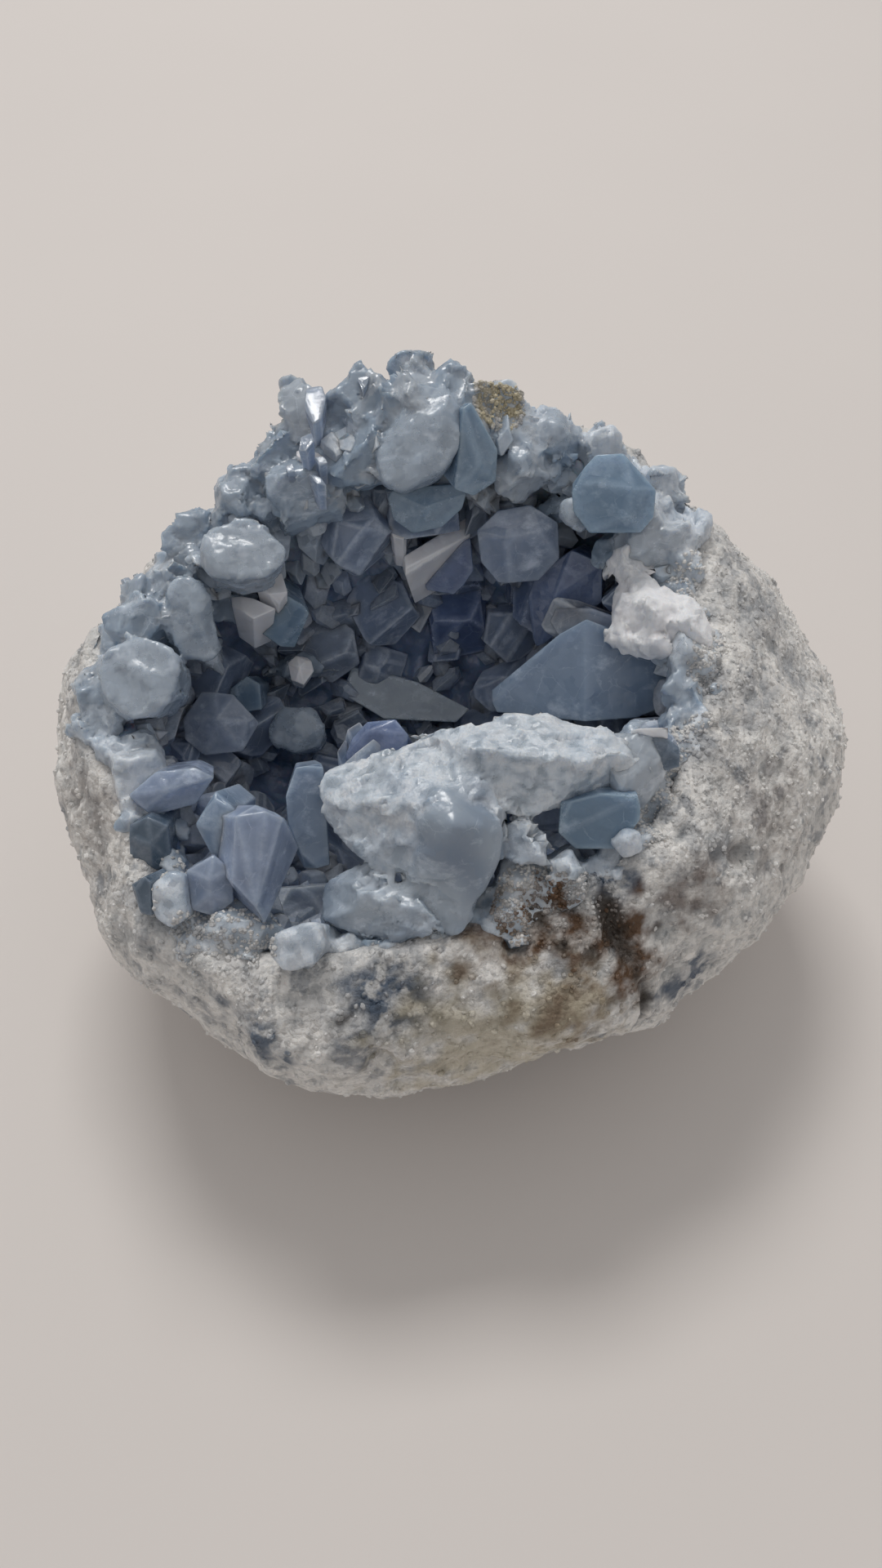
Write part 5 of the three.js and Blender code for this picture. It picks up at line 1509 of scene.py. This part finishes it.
def even_spread():
    """The middling crystals between the large ones, as the solids have them."""
    stream = number_stream(SPREAD_SEED)
    kinds = ("chisel", "rhomb", "chisel", "plate")
    listed = BACK_CRYSTALS + LEFT_CRYSTALS + RIGHT_CRYSTALS + FRONT_CRYSTALS
    taken = [(Vector(spot), (size[0] + size[1]) / 4) for spot, _, size, *_ in listed]
    found = []

    def after():
        return next(stream)

    def place(spot, aim, wide, long):
        deep = wide * (0.7 + 0.3 * after())
        turn = 180 * after()
        habit = kinds[math.floor(4 * after())]
        aim.x += 0.5 * (after() - 0.5)
        aim.y += 0.5 * (after() - 0.5)
        if any((spot - other).length < CROWDING * (reach + wide / 2) for other, reach in taken):
            return
        taken.append((spot, wide / 2))
        if beside_shaped(spot + aim.normalized() * long / 2, CLEAR_OF_MIDDLING):
            return
        finish = "pale" if spot.z > MIDDLING_CLOUDY else "clear"
        found.append((spot, aim, (wide, deep, long), turn, habit, finish, 1.6))

    for step in range(RIM_PLACES):
        azimuth = 2 * math.pi * (step + after()) / RIM_PLACES
        height = around(RIM_HEIGHT, azimuth) - RIM_DROP
        out = 0.5 + 3.5 * after() if around(CRYSTAL_COVER, azimuth) > 3 else 2 * after()
        spot = bed_point(azimuth, height) + Vector((out * math.cos(azimuth), out * math.sin(azimuth), 0))
        aim = Vector((-0.3 * math.cos(azimuth), -0.3 * math.sin(azimuth), 1))
        wide = 4.5 + 3 * after()
        place(spot, aim, wide, 2.5 + 2 * after())
    for row in range(WALL_ROWS):
        for step in range(WALL_PLACES):
            azimuth = 2 * math.pi * (step + after()) / WALL_PLACES
            top = around(RIM_HEIGHT, azimuth) - RIM_DROP - 1
            floor = FLOOR_HEIGHT + BED + 1
            height = floor + (top - floor) * ((row + after()) / WALL_ROWS) ** 1.4
            aim = bed_normal(azimuth, height)
            aim.z += 0.3 * after()
            wide = 7 + 4 * after()
            place(bed_point(azimuth, height), aim, wide, 3.5 + 3.5 * after())
    return found


def spread_small(rim, count, rng):
    """Spreads small crystals over the rim."""
    for _ in range(count):
        azimuth = rng.uniform(0, 2 * math.pi)
        cover = around(CRYSTAL_COVER, azimuth)
        top = around(RIM_HEIGHT, azimuth)
        height = top - RIM_DROP - rng.uniform(-0.4, max(cover, 1.5))
        fine = 1 - smooth(cover, 1.5, 4.0)
        out = rng.random() * mixed(1.0, 0.3, fine)
        reach = mixed(bed_radius(azimuth, top - RIM_DROP), outer_radius(azimuth, min(height, top)), out)
        spot = at(azimuth, reach - 0.7, height)
        if beside_shaped(spot, CLEAR_OF_SMALL):
            continue
        aim = Vector((0, 0, 1)) + outward(azimuth) * rng.uniform(-0.5, 0.7) + jitter(rng, 0.3)
        wide = rng.uniform(1.8, 4.2) * mixed(1.0, 0.55, fine)
        size = (wide, wide * rng.uniform(0.6, 1), wide * rng.uniform(0.3, 0.7))
        habit = rng.choice(("chisel", "rhomb", "wedge", "block"))
        add_to(rim, grow(habit, size, 1.5, rng, 2, 0.0), standing(spot, aim, rng.uniform(0, 180)))


def close_joint(rim, rng):
    """Stout crystals close the gaps between the large ones, and fine ones the
    joint between the crust and the bare edge of the rind."""
    for step in range(JOINT_PLACES):
        azimuth = 2 * math.pi * (step + rng.random()) / JOINT_PLACES
        cover = around(CRYSTAL_COVER, azimuth)
        top = around(RIM_HEIGHT, azimuth)
        mouth = bed_radius(azimuth, top - RIM_DROP)
        thick = cover > 3
        if thick and step % 2:
            continue
        stout = thick and step % 4 == 0
        if stout:
            reach = mixed(mouth, outer_radius(azimuth, top), rng.uniform(0.4, 0.85))
        elif thick:
            reach = outer_radius(azimuth, top) - rng.uniform(1.4, 2.2)
        else:
            reach = mouth + rng.uniform(-0.5, 4.0)
        wide = rng.uniform(4.0, 5.5) if stout else rng.uniform(2.0, 3.6)
        deep = wide * rng.uniform(0.7, 1)
        size = (wide, deep, rng.uniform(2.6, 4.0) if stout else rng.uniform(2.2, 3.2))
        aim = Vector((rng.uniform(-0.3, 0.3), rng.uniform(-0.4, 0.2), 1))
        spot = at(azimuth, reach, top - (3.4 if stout else 4.6 if thick else 3.2))
        if beside_shaped(spot, CLEAR_OF_SMALL):
            continue
        habit = rng.choice(("wedge", "block"))
        add_to(rim, grow(habit, size, 1.5, rng, 3, 0.0), standing(spot, aim, rng.uniform(0, 180)))


class GEODE_OT_large_crystals(bpy.types.Operator):
    """Stands the large crystals on the walls, the rim and the front lip"""

    bl_idname = "geode.large_crystals"
    bl_label = "Large crystals"

    def execute(self, context):
        sizes = context.scene.geode_sizes
        rng = random.Random(sizes.seed + 2)
        rim = start_crystals()
        for _, finish, corners in FEATURES:
            if finish == "pale":
                add_to(rim, shaped(corners, rng, 0.6, 2, 0.1), Matrix.Identity(4))
        plain = len(rim.faces)
        tables = {
            "back_crystals": BACK_CRYSTALS, "left_crystals": LEFT_CRYSTALS, "right_crystals": RIGHT_CRYSTALS,
            "front_crystals": FRONT_CRYSTALS, "middling_crystals": even_spread(),
        }
        for name, crystals in tables.items():
            stand_all(name, crystals, sizes, rng, rim)
        rng = random.Random(sizes.seed + 7)
        spread_small(rim, sizes.rim_count, rng)
        close_joint(rim, rng)
        fused("rim_crystals", rim, "pale", random.Random(sizes.seed + 8), plain)
        return {"FINISHED"}


class GEODE_OT_druse(bpy.types.Operator):
    """Fills the bed and the rim with small crystals"""

    bl_idname = "geode.druse"
    bl_label = "Druse"

    def execute(self, context):
        sizes = context.scene.geode_sizes
        rng = random.Random(sizes.seed + 3)
        bm = start_crystals()
        for _ in range(sizes.druse_count):
            azimuth = rng.uniform(0, 2 * math.pi)
            top = around(RIM_HEIGHT, azimuth) - RIM_DROP - 0.5
            floor = FLOOR_HEIGHT + BED + 0.5
            height = floor + (top - floor) * rng.random() ** 0.8
            spot = bed_point(azimuth, height)
            aim = bed_normal(azimuth, height) + jitter(rng, 0.45)
            wide = rng.uniform(2.2, 4.6)
            size = (wide, wide * rng.uniform(0.6, 1), wide * rng.uniform(0.55, 1.0))
            habit = rng.choice(("chisel", "rhomb", "wedge", "block"))
            one = grow(habit, size, 1.2, rng, 2, 0.09)
            kind = "pale" if height > DRUSE_CLOUDY else "clear"
            add_to(bm, one, standing(spot, aim, rng.uniform(0, 180)), ORDER.index(kind))
        finish_piece("wall_druse", bm, finishes(), "crystal_crust")
        return {"FINISHED"}


def facet(bm, cell, reach, share, rng, lean, grain=(1.0, 1.0, 1.0), dip=1.0):
    """Cuts a dense skin into flat faces about as wide as a cell and tipped by
    lean, where share tells; grain above 1 makes them narrower that way. No
    point rises by more than reach or sinks by more than dip of it."""
    bm.normal_update()
    verts = bm.verts[:]
    spread = [Vector([along * part for along, part in zip(grain, vert.co)]) for vert in verts]
    faces, taken = [], set()
    for index in rng.sample(range(len(verts)), len(verts)):
        key = tuple(math.floor(part / cell) for part in spread[index])
        if key not in taken:
            taken.add(key)
            tipped = verts[index].normal + jitter(rng, lean)
            foot = verts[index].co + verts[index].normal * rng.uniform(-0.3, 0.1) * reach
            faces.append((spread[index], foot, tipped.normalized()))
    tree = KDTree(len(faces))
    for index, (spot, _, _) in enumerate(faces):
        tree.insert(spot, index)
    tree.balance()
    moves = []
    for vert, spot in zip(verts, spread):
        away = []
        for _, index, _ in tree.find_n(spot, 4):
            _, foot, normal = faces[index]
            facing = vert.normal.dot(normal)
            if facing > 0.5:
                away.append((foot - vert.co).dot(normal) / facing)
        moves.append(min(max(min(away, default=0.0), -dip * reach), reach) * share(vert.co))
    for vert, move in zip(verts, moves):
        vert.co += vert.normal * move


def roughen(bm, rise, share):
    """Gives a dense skin the fine grain of an icy break, where share tells."""
    bm.normal_update()
    for vert in bm.verts:
        fine = noise.noise(vert.co / 1.1) + 0.6 * noise.noise(vert.co / 0.55)
        vert.co += vert.normal * rise * fine * share(vert.co)


def mark_crystal(bm, clear, frosted):
    """Gives a dense skin the same facts as a grown crystal's. clear and
    frosted tell how near the tip's colour and how frosted a point is."""
    axes = bm.verts.layers.float_vector.new("crystal_axes")
    tip = bm.verts.layers.float.new("tip")
    tone = bm.verts.layers.float.new("tone")
    frosting = bm.verts.layers.float.new("frosting")
    for vert in bm.verts:
        vert[axes] = vert.co
        vert[frosting] = frosted(vert.co)
        vert[tip] = clear(vert.co)
        vert[tone] = 0.5 + 0.5 * noise.noise(vert.co / 6)


class GEODE_OT_shaped_crystals(bpy.types.Operator):
    """Makes the crystals whose faces are known one by one"""

    bl_idname = "geode.shaped_crystals"
    bl_label = "Shaped crystals"

    def execute(self, context):
        sizes = context.scene.geode_sizes
        rng = random.Random(sizes.seed + 6)
        for name, table, frost in (("shaped_crystals", FEATURES, 0.16), ("leaning_blade", BLADE, 0.06)):
            bm = start_crystals()
            for _, finish, corners in table:
                if finish == "pale":
                    continue
                wear = 1000 * sizes.edge_wear
                add_to(bm, shaped(corners, rng, wear, 2, frost), Matrix.Identity(4), ORDER.index(finish))
            finish_piece(name, bm, finishes(), "crystal_crust", crisp=True)
        return {"FINISHED"}


def dense(table):
    """One dense skin around the shaped lumps of a table."""
    lumps = bmesh.new()
    for _, _, corners in table:
        add_to(lumps, hull_of(corners), Matrix.Identity(4))
    return one_skin(lumps, LUMP_MESH)


class GEODE_OT_broken_mass(bpy.types.Operator):
    """Makes the broken massive crystal on the front lip"""

    bl_idname = "geode.broken_mass"
    bl_label = "Broken mass"

    def execute(self, context):
        rng = random.Random(context.scene.geode_sizes.seed + 4)

        def roughness(point):
            away = point - BLUE_HEART
            return smooth(
                Vector((away.x / 5.0, away.y / 8, away.z / 8)).length + 0.4 * noise.noise(point / 2.5), 0.7,
                1.2)

        bm = dense(BROKEN_LUMPS + ROUGH_LUMPS + TONGUE)
        soften(bm, 8)
        for cell, reach, grain in ((3.2, 1.0, (0.6, 1.3, 1.0)), (1.5, 0.28, (0.7, 1.3, 1.0))):
            facet(bm, cell, reach, roughness, rng, 0.35, grain, 0.7)
        roughen(bm, 0.08, roughness)
        mark_crystal(
            bm, lambda point: smooth((point - BLUE_HEART).length + 3 * noise.noise(point / 3.0), 4.0, 12.0)
            * smooth(point.z, 42, 52),
            lambda point: roughness(point) * smooth(point.z, 41, 53)
            * min(max(0.6 + 0.8 * noise.noise(point / 3.0) + 0.8 * noise.noise(point / 1.2), 0.0), 0.95))
        finish_piece(
            "broken_mass", bm, [finishes()[ORDER.index("ice")]], "crystal_crust", True)
        return {"FINISHED"}


class GEODE_OT_frosted_clump(bpy.types.Operator):
    """Makes the frosted clump on the right wall"""

    bl_idname = "geode.frosted_clump"
    bl_label = "Frosted clump"

    def execute(self, context):
        rng = random.Random(context.scene.geode_sizes.seed + 5)
        bm = dense(CLUMP)
        soften(bm, 14)
        for cell, reach in ((3.0, 0.9), (1.5, 0.4)):
            facet(bm, cell, reach, lambda point: 1.0, rng, 0.35, (1.0, 1.0, 1.0), 0.4)
        roughen(bm, 0.25, lambda point: 1.0)
        mark_crystal(
            bm, lambda point: smooth(point.z, 48, 58),
            lambda point: min(max(0.5 + noise.noise(point / 2.5), 0.0), 1.0))
        finish_piece(
            "frosted_clump", bm, [finishes()[ORDER.index("frost")]], "crystal_crust",
            True)
        return {"FINISHED"}


# ------------------------------------------------------------------ the stage


class GEODE_OT_stage(bpy.types.Operator):
    """Makes the floor, the soft light and the camera"""

    bl_idname = "geode.stage"
    bl_label = "Stage"

    def execute(self, context):
        scene = context.scene
        stage = scene.geode_stage
        bm = bmesh.new()
        bmesh.ops.create_grid(bm, x_segments=1, y_segments=1, size=stage.floor_width / 2)
        mesh = bpy.data.meshes.new("floor")
        bm.to_mesh(mesh)
        bm.free()
        mesh.materials.append(matt_board())
        floor = bpy.data.objects.new("floor", mesh)
        scene.collection.objects.link(floor)

        key = bpy.data.lights.new("soft_key", "AREA")
        key.shape = "RECTANGLE"
        key.size, key.size_y = stage.key_size
        key.energy = stage.key_power
        key.color = (1.0, 0.985, 0.96)
        lamp = bpy.data.objects.new("soft_key", key)
        lamp.location = stage.key_place
        lamp.rotation_euler = (Vector((0, 0, 0.03)) - lamp.location).to_track_quat("-Z", "Y").to_euler()
        scene.collection.objects.link(lamp)

        world = bpy.data.worlds.new("surround")
        world.use_nodes = True
        world.node_tree.nodes.clear()
        # A soft box that is brighter overhead than at the sides.
        toward = add(world.node_tree, "ShaderNodeTexCoord")
        split = add(world.node_tree, "ShaderNodeSeparateXYZ", {}, {}, {"Vector": (toward, "Generated")})
        height = add(
            world.node_tree, "ShaderNodeMapRange", {},
            {"To Min": 0.7 * stage.ambient, "To Max": 1.15 * stage.ambient}, {"Value": (split, "Z")})
        sky = add(
            world.node_tree, "ShaderNodeBackground", {}, {"Color": linear("#f1efee")},
            {"Strength": (height, "Result")})
        add(world.node_tree, "ShaderNodeOutputWorld", {}, {}, {"Surface": (sky, "Background")})
        scene.world = world
        scene.view_settings.view_transform = "Standard"

        lens = bpy.data.cameras.new("camera")
        lens.lens = stage.lens
        lens.sensor_width = 36.0
        lens.clip_start = 0.005
        camera = bpy.data.objects.new("camera", lens)
        camera.location = stage.camera_place
        camera.rotation_euler = (stage.camera_tilt, 0.0, 0.0)
        scene.collection.objects.link(camera)
        scene.camera = camera
        return {"FINISHED"}


# -------------------------------------------------------------------- the add-on

OPERATORS = (
    GEODE_OT_rind,
    GEODE_OT_bed,
    GEODE_OT_large_crystals,
    GEODE_OT_shaped_crystals,
    GEODE_OT_druse,
    GEODE_OT_broken_mass,
    GEODE_OT_frosted_clump,
    GEODE_OT_grains,
    GEODE_OT_stage,
)


class GEODE_PT_panel(bpy.types.Panel):
    """Lists the geode's pieces, sizes and colours"""

    bl_label = "Geode"
    bl_idname = "GEODE_PT_panel"
    bl_space_type = "VIEW_3D"
    bl_region_type = "UI"
    bl_category = "Geode"

    def draw(self, context):
        for operator in OPERATORS:
            self.layout.operator(operator.bl_idname)
        for group in (context.scene.geode_sizes, context.scene.geode_colours, context.scene.geode_stage):
            box = self.layout.box()
            for name in group.__annotations__:
                box.prop(group, name)


GROUPS = {"geode_sizes": GeodeSizes, "geode_colours": GeodeColours, "geode_stage": GeodeStage}


def register():
    for name, group in GROUPS.items():
        bpy.utils.register_class(group)
        setattr(bpy.types.Scene, name, bpy.props.PointerProperty(type=group))
    for operator in OPERATORS:
        bpy.utils.register_class(operator)
    bpy.utils.register_class(GEODE_PT_panel)


def unregister():
    bpy.utils.unregister_class(GEODE_PT_panel)
    for operator in reversed(OPERATORS):
        bpy.utils.unregister_class(operator)
    for name, group in GROUPS.items():
        delattr(bpy.types.Scene, name)
        bpy.utils.unregister_class(group)


def main():
    register()
    bpy.ops.geode.rind()
    bpy.ops.geode.bed()
    bpy.ops.geode.large_crystals()
    bpy.ops.geode.shaped_crystals()
    bpy.ops.geode.druse()
    bpy.ops.geode.broken_mass()
    bpy.ops.geode.frosted_clump()
    bpy.ops.geode.grains()
    bpy.ops.geode.stage()


if __name__ == "__main__":
    main()
